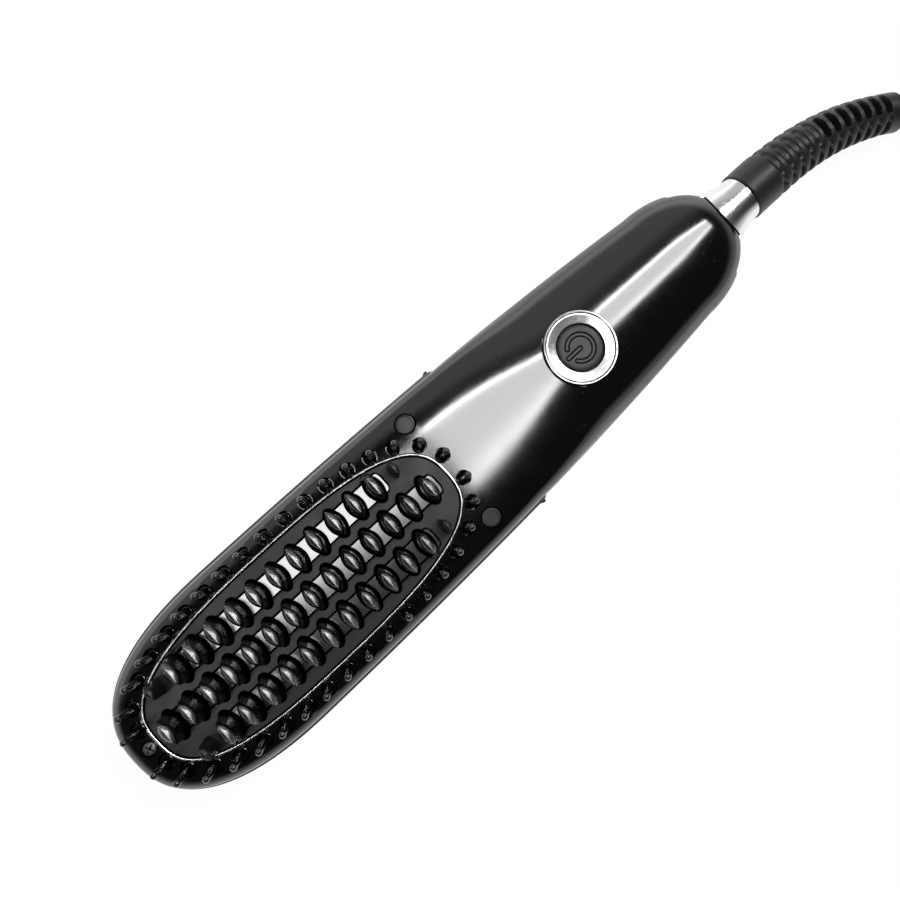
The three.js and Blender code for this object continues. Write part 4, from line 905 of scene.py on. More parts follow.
@dataclass
class Opening:
    """The oval opening of the bristle face."""

    length: float = 102.8
    width: float = 36.5
    tip_cut: float = 1.0
    roundness: float = 2.8
    steps: int = 240
    arc_steps: int = 1200

    def reach(self, c: float, growth: float) -> float:
        """How far the outline reaches along the brush, for a share of its half length."""
        return (self.length / 2 + growth - (self.tip_cut if c < 0 else 0.0)) * c

    def oval(self, growth: float) -> list[Flat]:
        """The opening's outline, grown by a distance.

        Args:
            growth: How far outside the opening it runs.

        Returns:
            The outline.
        """
        found = []
        for angle in all_round(self.steps):
            c, s = oval_share(angle, self.roundness)
            found.append((SHAPE.plate_x + self.reach(c, growth), (self.width / 2 + growth) * s))
        return found

    def band(self, profile: Sequence[Flat]) -> Form:
        """A skin round the opening, through its outline at each growth and height."""
        return stack([(self.oval(growth), height) for growth, height in profile], closed_ends=False)

    def pin_places(self, count: int, offset: float, tip_gap: float, tip_step: float,
                   rear_gap: float) -> list[Flat]:
        """Places round the opening, the same on both sides and even from the second one on.

        Args:
            count: How many there are on a side.
            offset: How far outside the opening they stand.
            tip_gap: The first one's distance from the middle plane.
            tip_step: The second one's distance from the first.
            rear_gap: The last one's distance from the middle plane.

        Returns:
            The places.
        """
        arc = []
        for i in range(self.arc_steps + 1):
            c, s = oval_share(math.pi * (1 - i / self.arc_steps), self.roundness)
            arc.append(Vector((SHAPE.plate_x + self.reach(c, offset), (self.width / 2 + offset) * abs(s), 0)))
        lengths = marks(arc)
        second = tip_gap + tip_step
        step = (lengths[-1] - second - rear_gap) / (count - 2)
        wanted = [tip_gap, *(second + i * step for i in range(count - 1))]
        half = [next(p for p, along in zip(arc, lengths) if along >= place) for place in wanted]
        return [(p.x, side * p.y) for side in (1, -1) for p in half]


OPENING = Opening()


# Sub-assemblies


@dataclass
class Casing:
    """The glossy cover, the satin shell under it, the screw plugs and the tip screw."""

    parting: float = 20.0
    clear: float = 0.3
    wall: float = 2.0
    inner_extra: float = 2.0
    rim_reach: float = 0.75
    rim_width: float = 0.5
    rim_height: float = 0.3
    pin_hole: float = 2.2
    plug_hole: float = 3.0
    plug_offset: float = 17.1
    plug_radius: float = 2.65
    plug_drop: float = 0.6
    bezel_hole: float = 10.75
    bezel_sleeve_hole: float = 10.0
    bezel_seat: float = 26.6
    cut_from: float = 19.0
    cut_to: float = 40.0
    screw_hole: float = 2.1
    screw_head: float = 1.8
    screw_top: float = 26.9
    cross_reach: float = 1.25
    cross_half: float = 0.32
    cross_degrees: float = 20.0
    nub_reach: float = 0.7

    def build(self, pin_places: Sequence[Flat]) -> None:
        """Makes and dresses the casing.

        Args:
            pin_places: Where the guard pins stand.
        """
        put(self.cover(pin_places), Body.CASING, Slot.COVER, "top_cover")
        put(self.rim().piece("opening_rim"), Body.CASING, Slot.CHROME, "top_cover")
        put(self.shell(), Body.CASING, Slot.SHELL, "lower_shell")
        for side, word in ((1, "left"), (-1, "right")):
            plug = self.plug((SHAPE.plug_x, side * self.plug_offset)).piece(f"plug_dish_{word}")
            put(plug, Body.CASING, Slot.PLATE, f"screw_plug_{word}")
        screw, cross_shade = self.tip_screw()
        put(screw, Body.CASING, Slot.STEEL, "tip_screw")
        # the painted shade in the screw's cross
        put(cross_shade, Body.CASING, Slot.COMPONENT, "tip_screw")

    def cover(self, pin_places: Sequence[Flat]) -> bpy.types.Object:
        """The upper half with its openings.

        Args:
            pin_places: Where the guard pins stand.

        Returns:
            The piece.
        """
        blank = SHAPE.form(ledge=SHAPE.ledge).piece("casing_cover")
        inner = SHAPE.form(self.wall, SHAPE.ledge, self.inner_extra)
        below = beyond(below=self.parting + self.clear / 2)
        low, high = self.cut_from, self.cut_to
        pin_holes = Form()
        for place in pin_places:
            pin_holes.join(rod(self.pin_hole, low, high, place))
        holes = [prism(OPENING.oval(0.0), low, high)]
        for side in (1, -1):
            holes.append(rod(self.plug_hole, low, high, (SHAPE.plug_x, side * self.plug_offset), 40))
        seat, sleeve, step = self.bezel_hole, self.bezel_sleeve_hole, self.bezel_seat
        stepped = [(0, low), (sleeve, low), (sleeve, step), (seat, step), (seat, high), (0, high)]
        holes.append(turned(stepped, ROUND_STEPS, (SHAPE.button_x, 0)))
        holes.append(rod(self.screw_hole, low, high, (SHAPE.tip_screw_x, 0), 32))
        return carve(carve(blank, inner, below, *holes), pin_holes)

    def rim(self) -> Form:
        """The thin bright rim round the opening.

        Returns:
            The form.
        """
        inner, foot = -self.rim_reach, SHAPE.face_height - self.wall
        outer, face, top = inner + self.rim_width, SHAPE.face_height, SHAPE.face_height + self.rim_height
        profile = [(inner, foot), (inner, top - 0.16), (inner + 0.05, top - 0.05), (inner + 0.16, top),
                   (outer - 0.16, top), (outer - 0.04, top - 0.08), (outer, top - 0.2), (outer, face - 0.9),
                   (0.06, face - 1.0), (0.06, foot)]
        return OPENING.band([*profile, profile[0]])

    def shell(self) -> bpy.types.Object:
        """The lower half, with its two nubs.

        Returns:
            The piece.
        """
        blank = SHAPE.form().piece("casing_shell")
        inner = SHAPE.form(self.wall, 0.0, self.inner_extra)
        above = beyond(above=self.parting - self.clear / 2)
        shell = carve(blank, inner, above, beyond(rear_of=SHAPE.collar_x - self.clear))
        return merged("casing_shell", [shell, *self.nubs()])

    def nubs(self) -> list[bpy.types.Object]:
        """The small catches on both sides, where the handle starts.

        Returns:
            The two catches.
        """
        made = []
        width = SHAPE.half_width(SHAPE.step_x)
        middle = SHAPE.head_equator
        for side in (1, -1):
            rings = []
            for z, reach in ((-2.5, 0.1), (-2.2, 0.9), (2.2, 0.9), (2.5, 0.1)):
                outer = self.nub_reach * reach
                plan = ((2.2, -1.2), (2.2, -0.1), (0.7, outer), (0.0, outer), (0.0, -1.2))
                rings.append([(SHAPE.step_x - back, side * (width + out), middle + z) for back, out in plan])
            made.append(loft(rings).piece(f"nub_{side}"))
        return made

    def plug(self, at: Flat) -> Form:
        """A dished plug over a screw.

        Args:
            at: Where it sits.

        Returns:
            The form.
        """
        top = SHAPE.face_height - self.plug_drop
        r = self.plug_radius
        profile = [(0, top - 2.6), (r, top - 2.6), (r, top - 0.12), (r - 0.04, top - 0.03), (r - 0.12, top),
                   (2.2, top), (2.12, top - 0.06), (2.08, top - 0.5), (0, top - 0.5)]
        return turned(profile, 48, at)

    def tip_screw(self) -> tuple[bpy.types.Object, bpy.types.Object]:
        """The cross-head screw in the tip, and a dark piece of painted shade at the bottom of its cross.

        Returns:
            The screw and the painted shade.
        """
        top, r = self.screw_top, self.screw_head
        profile = [(0, top - 9.5), (1.1, top - 8.3), (1.1, top - 1.5), (r, top - 1.5), (r, top - 0.5),
                   (r * 0.93, top - 0.25), (r * 0.75, top - 0.08), (r * 0.4, top), (0, top)]
        head = turned(profile, 32, (SHAPE.tip_screw_x, 0)).piece("tip_screw_head")
        angles = [math.radians(self.cross_degrees), math.radians(self.cross_degrees + 90)]
        # painted shade: dark bars fill the bottom of the cross recess
        cross_shade = Form()
        for angle in angles:
            cross_shade.join(self.bar(angle, top - 1.2, top - 0.75))
        head = carve(head, *(self.bar(angle, top - 1.1, top + 1) for angle in angles))
        return head, cross_shade.piece("tip_screw_cross_shade")

    def bar(self, angle: float, low: float, high: float) -> Form:
        """One bar of the screw's cross, at an angle and between two heights.

        Args:
            angle: Its angle, in radians.
            low: Its lower height.
            high: Its upper height.

        Returns:
            The form.
        """
        c, s = math.cos(angle), math.sin(angle)
        form = block((-self.cross_reach, -self.cross_half, low), (self.cross_reach, self.cross_half, high))
        form.points = [(SHAPE.tip_screw_x + x * c - y * s, x * s + y * c, z) for x, y, z in form.points]
        return form


@dataclass
class BristleFace:
    """The guard pins, the plate with scalloped slots, and the comb of teeth."""

    pin_count: int = 18
    pin_offset: float = 2.0
    pin_tip_gap: float = 5.3
    pin_tip_step: float = 5.9
    pin_rear_gap: float = 4.15
    pin_height: float = 12.6
    pin_ball: float = 1.0
    pin_root: float = 1.85
    pin_stem: float = 1.0
    pin_foot: float = 23.2
    pin_sides: int = 20
    groove: float = 1.1
    plate_bottom: float = 26.5
    comb_bottom: float = 21.1
    comb_top: float = 24.1
    rail_top: float = 27.4
    rail_width: float = 6.0
    rail_overrun: float = 3.3
    recess_drop: float = 0.7
    pad_gap: float = 0.75
    slot_play: float = 0.3
    lobe_play: float = 0.5
    tooth_pitch: float = 6.75
    tooth_length: float = 8.5
    tooth_thickness: float = 3.6
    tooth_height: float = 11.0
    roof_start: float = 0.88
    row_spacing: float = 10.0
    middle_teeth: int = 14
    outer_teeth: int = 11
    stub_length: float = 5.0
    stub_thickness: float = 2.8
    stub_sink: float = 0.5
    ring_low: float = 22.7
    ring_high: float = 23.9
    ring_half: float = 1.2
    ring_gap_half: float = 3.6
    skirt_depth: float = 2.1
    skirt_wall: float = 1.4
    end_depth: float = 1.3
    sink: float = 0.3
    plate_edge: float = 0.14
    base_edge: float = 0.2
    pad_edge: float = 0.12
    pad_play: float = 0.05
    pad_end: float = 0.9
    pad_steps: int = 8
    tooth_levels: int = 22
    tooth_sides: int = 12
    slot_step: float = 0.16
    rail_steps: int = 200

    def places(self) -> list[Flat]:
        """Where the guard pins stand."""
        return OPENING.pin_places(self.pin_count, self.pin_offset, self.pin_tip_gap, self.pin_tip_step,
                                  self.pin_rear_gap)

    def rows(self) -> list[tuple[float, list[float]]]:
        """The place across and the teeth of each row.

        Returns:
            For each row, its place across and the places of its teeth along the brush.
        """
        return [(y, [SHAPE.plate_x + (i - (count - 1) / 2) * self.tooth_pitch for i in range(count)])
                for y, count in ((0.0, self.middle_teeth), (self.row_spacing, self.outer_teeth),
                                 (-self.row_spacing, self.outer_teeth))]

    def build(self) -> None:
        """Makes and dresses the bristle face."""
        put(self.pins().piece("guard_pins"), Body.CASING, Slot.PIN, "guard_pin_ring")
        put(self.plate(), Body.CASING, Slot.PLATE, "face_plate")
        put(self.comb(), Body.CASING, Slot.COMB, "heat_comb")

    def pins(self) -> Form:
        """The guard pins on their hidden ring.

        Returns:
            The form.
        """
        top = SHAPE.face_height + 0.1
        ball = SHAPE.face_height + self.pin_height - self.pin_ball
        r, stem = self.pin_root, self.pin_stem
        profile = [(0, self.pin_foot), (r, self.pin_foot), (r, top - 2.2), (r - 0.2, top - 2.0),
                   (stem + 0.3, top - 1.9), (stem + 0.1, top - 1.6), (stem, top), (stem, top + 1.2),
                   (stem * 0.86, ball - 1.4), (stem * 0.84, ball - 0.8)]
        for degrees in (-38, -15, 10, 35, 60, 80):
            angle = math.radians(degrees)
            profile.append((self.pin_ball * math.cos(angle), ball + self.pin_ball * math.sin(angle)))
        profile.append((0, ball + self.pin_ball))
        form = Form()
        for place in self.places():
            form.join(turned(profile, self.pin_sides, place))
        form.join(self.carrier())
        return form

    def carrier(self) -> Form:
        """The ring under the cover that carries the pins.

        Returns:
            The form.
        """
        rings = []
        inner, outer = self.pin_offset - self.ring_half, self.pin_offset + self.ring_half
        low, high = self.ring_low, self.ring_high
        for growth, z in ((inner, low), (outer, low), (outer, high), (inner, high)):
            oval = OPENING.oval(growth)
            in_gap = [x < SHAPE.plate_x and abs(y) < self.ring_gap_half for x, y in oval]
            start = next(i for i, (_, y) in enumerate(oval) if in_gap[i] and y < 0)
            order = [*range(start, len(oval)), *range(start)]
            rings.append([(*oval[i], z) for i in order if not in_gap[i]])
        size = min(len(ring) for ring in rings)
        return loft([[ring[i] for ring in rings] for i in range(size)])

    def lens(self, y: float, length: float, thickness: float) -> float:
        """Half the thickness of a tooth at a distance across from its middle."""
        return thickness / 2 * max(0.0, 1 - (2 * y / length) ** 2) ** 0.9

    def tongue(self, length: float, thickness: float, low: float, high: float) -> Form:
        """One tooth, lens-shaped in plan, that narrows to a crest.

        Args:
            length: Its length across the brush, at the foot.
            thickness: Its thickness, at the foot.
            low: The height of its foot.
            high: The height of its crest.

        Returns:
            The form.
        """
        rings = []
        sides = self.tooth_sides
        for i in range(self.tooth_levels + 1):
            up = math.sin(math.pi / 2 * i / self.tooth_levels)
            roof = max(0.0, (up - self.roof_start) / (1 - self.roof_start))
            long = length * (1 - 0.14 * up) * (1 - 0.25 * roof ** 2)
            thick = thickness * (1 - 0.1 * up) * max(0.03, 1 - roof ** 2.2) ** 0.6
            ys = [long / 2 * math.cos(math.pi * k / sides) for k in range(sides + 1)]
            right = [(self.lens(y, long, thick), y, between(low, high, up)) for y in ys]
            left = [(-x, y, z) for x, y, z in reversed(right[1:-1])]
            rings.append(right + left)
        return loft(rings)

    def slot_outline(self, y0: float, teeth: Sequence[float]) -> list[Flat]:
        """The outline of a slot, scalloped round every tooth.

        Args:
            y0: The row's place across.
            teeth: The places of the row's teeth.

        Returns:
            The outline.
        """
        half = self.rail_width / 2 + self.slot_play
        lobe_x, lobe_y = self.tooth_thickness / 2 + self.lobe_play, self.tooth_length / 2 + self.lobe_play
        overrun = self.rail_overrun + self.slot_play
        start, end = teeth[0] - overrun, teeth[-1] + overrun
        count = int((end - start) / self.slot_step)
        upper = []
        for i in range(count + 1):
            x = between(start, end, i / count)
            reach = self.end_reach(min(x - start, end - x), half)
            for tooth in teeth:
                share = abs(x - tooth) / lobe_x
                if share < 1:
                    reach = max(reach, lobe_y * math.sqrt(1 - share ** 2.2))
            upper.append((x, reach))
        return mirrored(upper, y0)

    def end_reach(self, inside: float, half: float) -> float:
        """Half the width of a rail or slot near its rounded end.

        Args:
            inside: The distance from the end.
            half: Half the full width.

        Returns:
            Half the width there.
        """
        if inside >= self.end_depth:
            return half
        return half * max(0.3, 1 - (1 - inside / self.end_depth) ** 2.2) ** 0.5

    def plate(self) -> bpy.types.Object:
        """The matte plate with its three slots and four stubs.

        Returns:
            The piece.
        """
        slots = [self.slot_outline(y, teeth) for y, teeth in self.rows()]
        outlines = [OPENING.oval(-self.groove), *slots]
        flat = slab(outlines, self.plate_bottom, SHAPE.face_height, self.plate_edge, "plate")
        reach = (self.outer_teeth + 1) / 2 * self.tooth_pitch
        stubs = Form()
        low, high = SHAPE.face_height - self.stub_sink, SHAPE.face_height + self.tooth_height
        stub = self.tongue(self.stub_length, self.stub_thickness, low, high)
        for end in (-1, 1):
            for side in (-1, 1):
                stubs.join(stub, (SHAPE.plate_x + end * reach, side * self.row_spacing, 0))
        outer, inner = -self.groove, -self.groove - self.skirt_wall
        low, high = self.plate_bottom - self.skirt_depth, self.plate_bottom + self.sink
        skirt = OPENING.band([(outer, high), (outer, low), (inner, low), (inner, high)])
        return merged("bristle_plate", [flat, stubs.piece("stubs"), skirt.piece("skirt")])

    def pad_outline(self, y0: float, left: float | None, right: float | None, end: float) -> list[Flat]:
        """The outline of the raised pad between two teeth, or beyond the last one.

        Args:
            y0: The row's place across.
            left: The tooth on its left, if there is one.
            right: The tooth on its right, if there is one.
            end: Where the rail ends, for a pad beyond the last tooth.

        Returns:
            The outline.
        """
        half, steps = self.rail_width / 2 - self.pad_play, self.pad_steps
        across = [half * math.sin(math.pi / 2 * k / steps) for k in range(-steps, steps + 1)]
        one, two = [], []
        for y in across:
            lens = self.lens(y, self.tooth_length, self.tooth_thickness) + self.pad_gap
            round_end = self.pad_end * (1 - math.sqrt(max(0.0, 1 - (y / half) ** 4)))
            one.append((left + lens if left is not None else end + round_end, y0 + y))
            two.append((right - lens if right is not None else end - round_end, y0 + y))
        return one + list(reversed(two))

    def comb(self) -> bpy.types.Object:
        """The coated metal comb.

        Returns:
            The piece.
        """
        outline = OPENING.oval(-self.groove - self.sink)
        pieces = [slab([outline], self.comb_bottom, self.comb_top, self.base_edge, "comb_base")]
        foot, floor = self.comb_top - self.sink, self.rail_top - self.recess_drop
        crest = SHAPE.face_height + self.tooth_height
        tooth = self.tongue(self.tooth_length, self.tooth_thickness, foot, crest)
        all_teeth = Form()
        pads = []
        for y0, teeth in self.rows():
            start, end = teeth[0] - self.rail_overrun, teeth[-1] + self.rail_overrun
            steps = [between(start, end, i / self.rail_steps) for i in range(self.rail_steps + 1)]
            upper = [(x, self.end_reach(min(x - start, end - x), self.rail_width / 2)) for x in steps]
            pieces.append(prism(mirrored(upper, y0), foot, floor).piece("rail"))
            for x in teeth:
                all_teeth.join(tooth, (x, y0, 0))
            pads.append(self.pad_outline(y0, None, teeth[0], start))
            pads += [self.pad_outline(y0, a, b, 0) for a, b in zip(teeth, teeth[1:])]
            pads.append(self.pad_outline(y0, teeth[-1], None, end))
        pieces.append(slab(pads, floor - self.sink, self.rail_top, self.pad_edge, "pads"))
        pieces.append(all_teeth.piece("teeth", 50))
        return merged("comb_of_teeth", pieces, 50)


@dataclass
class PowerSwitch:
    """The power button with its sign, and the bright bezel round it."""

    radius: float = 6.6
    top: float = 27.7
    flange_radius: float = 8.0
    flange_top: float = 24.2
    stem_radius: float = 1.8
    stem_bottom: float = 20.9
    bezel_radius: float = 10.45
    bezel_top: float = 28.3
    bezel_bottom: float = 24.5
    dish_depth: float = 0.4
    sign_radius: float = 3.8
    sign_line: float = 1.1
    sign_gap_degrees: float = 33.0
    sign_bar: float = 5.2
    sign_depth: float = 1.1
    sign_groove: float = 0.46
    shade_ring_radius: float = 0.13
    shade_ring_inset: float = 0.66
    shade_ring_drop: float = 0.45
    shade_ring_sides: int = 8
    lip: float = 0.98
    sleeve_inset: float = 0.75
    bezel_seat: float = 26.9
    bezel_steps: int = 128
    dish_steps: int = 12
    sign_steps: int = 40

    def build(self) -> None:
        """Makes and dresses the button and its bezel."""
        cut = self.top - self.sign_depth
        button = self.cap().piece("button_cap")
        channels = self.sign(self.sign_line + self.sign_groove)
        button = carve(button, *(prism(line, cut, self.top + 1) for line in channels), sharp_degrees=30)
        put(button, Body.BUTTON, Slot.BUTTON, "power_button")
        strokes = self.sign(self.sign_line - self.sign_groove)
        inlay = []
        for wide, narrow in zip(channels, strokes):
            inlay.append(stack([(wide, cut - 0.05), (wide, cut + 0.05), (narrow, self.top - 0.35),
                                (narrow, self.top - 0.12)]).piece("stroke_inlay"))
        put(merged("sign_inlay", inlay), Body.BUTTON, Slot.BUTTON, "power_button")
        put(self.bezel().piece("bright_bezel", 30), Body.CASING, Slot.CHROME, "button_bezel")
        # painted shade: a dark ring laid in the bezel's groove stands in for the shade there
        put(self.shade_ring().piece("bezel_shade_ring"), Body.CASING, Slot.PLATE, "button_bezel")

    def cap(self) -> Form:
        """The round cap on its stem.

        Returns:
            The form.
        """
        r, top = self.radius, self.top
        profile = [(0, self.stem_bottom), (self.stem_radius, self.stem_bottom),
                   (self.stem_radius, self.flange_top - 1), (self.flange_radius, self.flange_top - 1),
                   (self.flange_radius, self.flange_top), (r, self.flange_top), (r, top - 0.75),
                   (r - 0.05, top - 0.5), (r - 0.18, top - 0.28), (r - 0.4, top - 0.1), (r - 0.7, top),
                   (r * 0.7, top - 0.03), (r * 0.4, top - 0.08), (0, top - 0.12)]
        return turned(profile, ROUND_STEPS, (SHAPE.button_x, 0))

    def stroke(self, line: Sequence[Flat], width: float) -> list[Flat]:
        """The outline of a line with round ends.

        Args:
            line: The middle of the stroke.
            width: The stroke's width.

        Returns:
            The outline, in its place on the button.
        """
        half = width / 2
        left, right = [], []
        for i, (x, y) in enumerate(line):
            (x0, y0), (x1, y1) = line[max(0, i - 1)], line[min(len(line) - 1, i + 1)]
            size = math.hypot(x1 - x0, y1 - y0)
            nx, ny = -(y1 - y0) / size, (x1 - x0) / size
            left.append((x + nx * half, y + ny * half))
            right.append((x - nx * half, y - ny * half))
        ends = self._round(line[-1], left[-1]), self._round(line[0], right[0])
        return [(SHAPE.button_x + x, y) for x, y in [*left, *ends[0], *reversed(right), *ends[1]]]

    @staticmethod
    def _round(centre: Flat, start: Flat) -> list[Flat]:
        """The half circle round a stroke's end.

        Args:
            centre: The stroke's end.
            start: Where the half circle starts.

        Returns:
            The points between its two ends.
        """
        dx, dy = start[0] - centre[0], start[1] - centre[1]
        found = []
        for i in range(1, STROKE_END_STEPS):
            a = -math.pi * i / STROKE_END_STEPS
            found.append((centre[0] + dx * math.cos(a) - dy * math.sin(a),
                          centre[1] + dx * math.sin(a) + dy * math.cos(a)))
        return found

    def sign(self, width: float) -> list[list[Flat]]:
        """The outlines of the power sign, an open ring and a bar, in strokes of a width.

        Args:
            width: The width of the strokes.

        Returns:
            The outlines of the ring and the bar.
        """
        gap, steps = self.sign_gap_degrees, self.sign_steps
        turns = [math.radians(180 + gap + (360 - 2 * gap) * i / steps) for i in range(steps + 1)]
        ring = [(self.sign_radius * math.cos(a), self.sign_radius * math.sin(a)) for a in turns]
        bar = [(-self.sign_line * share, 0) for share in (0.1, 2.0, self.sign_bar / self.sign_line - 0.5)]
        return [self.stroke(ring, width), self.stroke(bar, width)]

    def shade_ring(self) -> Form:
        """A dark round ring of painted shade at the bottom of the groove between the bezel's lip and its
        dish.

        Returns:
            The form.
        """
        middle, height = self.bezel_radius - self.shade_ring_inset, self.bezel_top - self.shade_ring_drop
        r, sides = self.shade_ring_radius, self.shade_ring_sides
        turns = [2 * math.pi * i / sides for i in range(sides + 1)]
        profile = [(middle + r * math.cos(a), height + r * math.sin(a)) for a in turns]
        return turned(profile, ROUND_STEPS, (SHAPE.button_x, 0))

    def bezel(self) -> Form:
        """The dished ring, with a thin lip round it.

        Returns:
            The form.
        """
        bore, r, top = self.radius + 0.3, self.bezel_radius, self.bezel_top
        sleeve, seat = r - self.sleeve_inset, self.bezel_seat
        profile = [(bore, self.bezel_bottom), (sleeve, self.bezel_bottom), (sleeve, seat), (r, seat),
                   (r, top - 0.25), (r - 0.08, top - 0.08), (r - 0.22, top), (r - 0.38, top - 0.02),
                   (r - 0.48, top - 0.12), (r - 0.52, top - 1.1), (r - 0.8, top - 1.1),
                   (r - 0.84, top - 0.25)]
        for i in range(self.dish_steps + 1):
            share = i / self.dish_steps
            profile.append((between(r - self.lip, bore + 0.1, share), top - 0.2 - self.dish_depth * share))
        profile += [(bore, top - 0.35 - self.dish_depth), (bore, self.bezel_bottom)]
        return turned(profile, self.bezel_steps, (SHAPE.button_x, 0))


@dataclass
class Tail:
    """The chrome collar and the ribbed boot of the cord."""

    axis_height: float = 14.0
    end_radius: float = 7.2
    flare: float = 1.9
    collar_roundness: float = 2.2
    collar_rings: int = 32
    collar_sides: int = 96
    cover_gap: float = 0.3
    cover_foot: float = 19.85
    boot_radius: float = 7.7
    boot_end_radius: float = 6.1
    sleeve: float = 9.5
    end_collar: float = 4.5
    ribs: int = 12
    blind_ribs: int = 5
    slot_share: float = 0.6
    slot_span: float = 0.76
    rib_groove: float = 0.3
    slot_turn: float = 0.58
    blind_depth: float = 0.4
    slot_depth: float = 3.0
    start_edge: float = 0.35
    end_edge: float = 0.5
    boot_rings: int = 420
    boot_sides: int = 128

    def build(self, cord: "Cord") -> bpy.types.Object:
        """Makes and dresses the collar and the boot.

        Args:
            cord: The cord, which gives the boot's route.

        Returns:
            The boot.
        """
        put(self.collar(), Body.CASING, Slot.CHROME, "tail_collar")
        boot = self.boot(cord.boot_line(self.boot_rings)).piece("ribbed_boot", 40)
        return put(boot, Body.CORD, Slot.CORD, "cord_boot")

    def section(self, x: float) -> tuple[float, float, float]:
        """Half width, lowest and highest point of the casing near its rear end.

        Args:
            x: The place along the brush.

        Returns:
            The half width, the lowest and the highest point.
        """
        reach = (x - SHAPE.rear) / SHAPE.rear_cap
        r, crown, belly = SHAPE.rear_roundness, SHAPE.handle_crown, SHAPE.belly_roundness
        wide = (1 - reach ** r) ** (1 / r) * SHAPE.tail_width / 2
        middle = SHAPE.equator(SHAPE.rear)
        high = (SHAPE.top(SHAPE.rear) - middle) * (1 - reach ** crown) ** (1 / crown)
        low = (middle - SHAPE.bottom(SHAPE.rear)) * (1 - reach ** belly) ** (1 / belly)
        return wide, middle - low, middle + high

    def collar(self) -> bpy.types.Object:
        """The collar that flares into the casing.

        Returns:
            The piece.
        """
        wide, low, high = self.section(SHAPE.collar_x)
        rings = []
        for i in range(self.collar_rings + 1):
            along = i / self.collar_rings
            left = (1 - along) ** self.flare
            half = between(self.end_radius, wide, left)
            z0 = between(self.axis_height - self.end_radius, low, left)
            z1 = between(self.axis_height + self.end_radius, high, left)
            x = between(SHAPE.collar_x, SHAPE.collar_end_x, along)
            oval = (oval_share(angle, self.collar_roundness) for angle in all_round(self.collar_sides))
            rings.append([(x, half * c, (z0 + z1) / 2 + (z1 - z0) / 2 * s) for c, s in oval])
        cover_space = carve(SHAPE.form(-self.cover_gap).piece("cover_space"), beyond(below=self.cover_foot))
        return carve(loft(rings).piece("chrome_collar"), cover_space)

    def boot_reach(self, along: float, angle: float, length: float) -> float:
        """The boot's radius at a place along it and round it.

        Args:
            along: The distance from the boot's start.
            angle: The angle from the top.
            length: The boot's length.

        Returns:
            The radius.
        """
        ribbed = length - self.sleeve - self.end_collar
        share = min(1.0, max(0.0, (along - self.sleeve) / ribbed))
        outer = between(self.boot_radius, self.boot_end_radius, share)
        outer -= (self.start_edge * (1 - min(1.0, along / self.start_edge))
                  + self.end_edge * (1 - min(1.0, (length - along) / self.end_edge)))
        if not 0 < share < 1:
            return outer
        rib = min(self.ribs - 1, int(share * self.ribs))
        inside = abs(share * self.ribs - rib - 0.5) * 2
        turned_by = (angle + self.slot_turn) % (2 * math.pi) / (math.pi / 2)
        quarter = int(turned_by) % 4
        across = abs(turned_by - int(turned_by) - 0.5) * 2
        outer -= self.rib_groove * (1 - ease(inside, 0.0, 0.75))
        slot = ((inside / self.slot_share) ** 3 + (across / self.slot_span) ** 3) ** (1 / 3)
        if quarter == 0 and rib < self.blind_ribs:
            return outer - self.blind_depth * (1 - ease(abs(slot - 0.9), 0.06, 0.3))
        return outer - self.slot_depth * (1 - ease(slot, 0.86, 1.1))

    def boot(self, line: Sequence[Vector]) -> Form:
        """The ribbed boot."""
        length = marks(line)[-1]
        return sweep(line, lambda along, angle: self.boot_reach(along, angle, length), self.boot_sides)


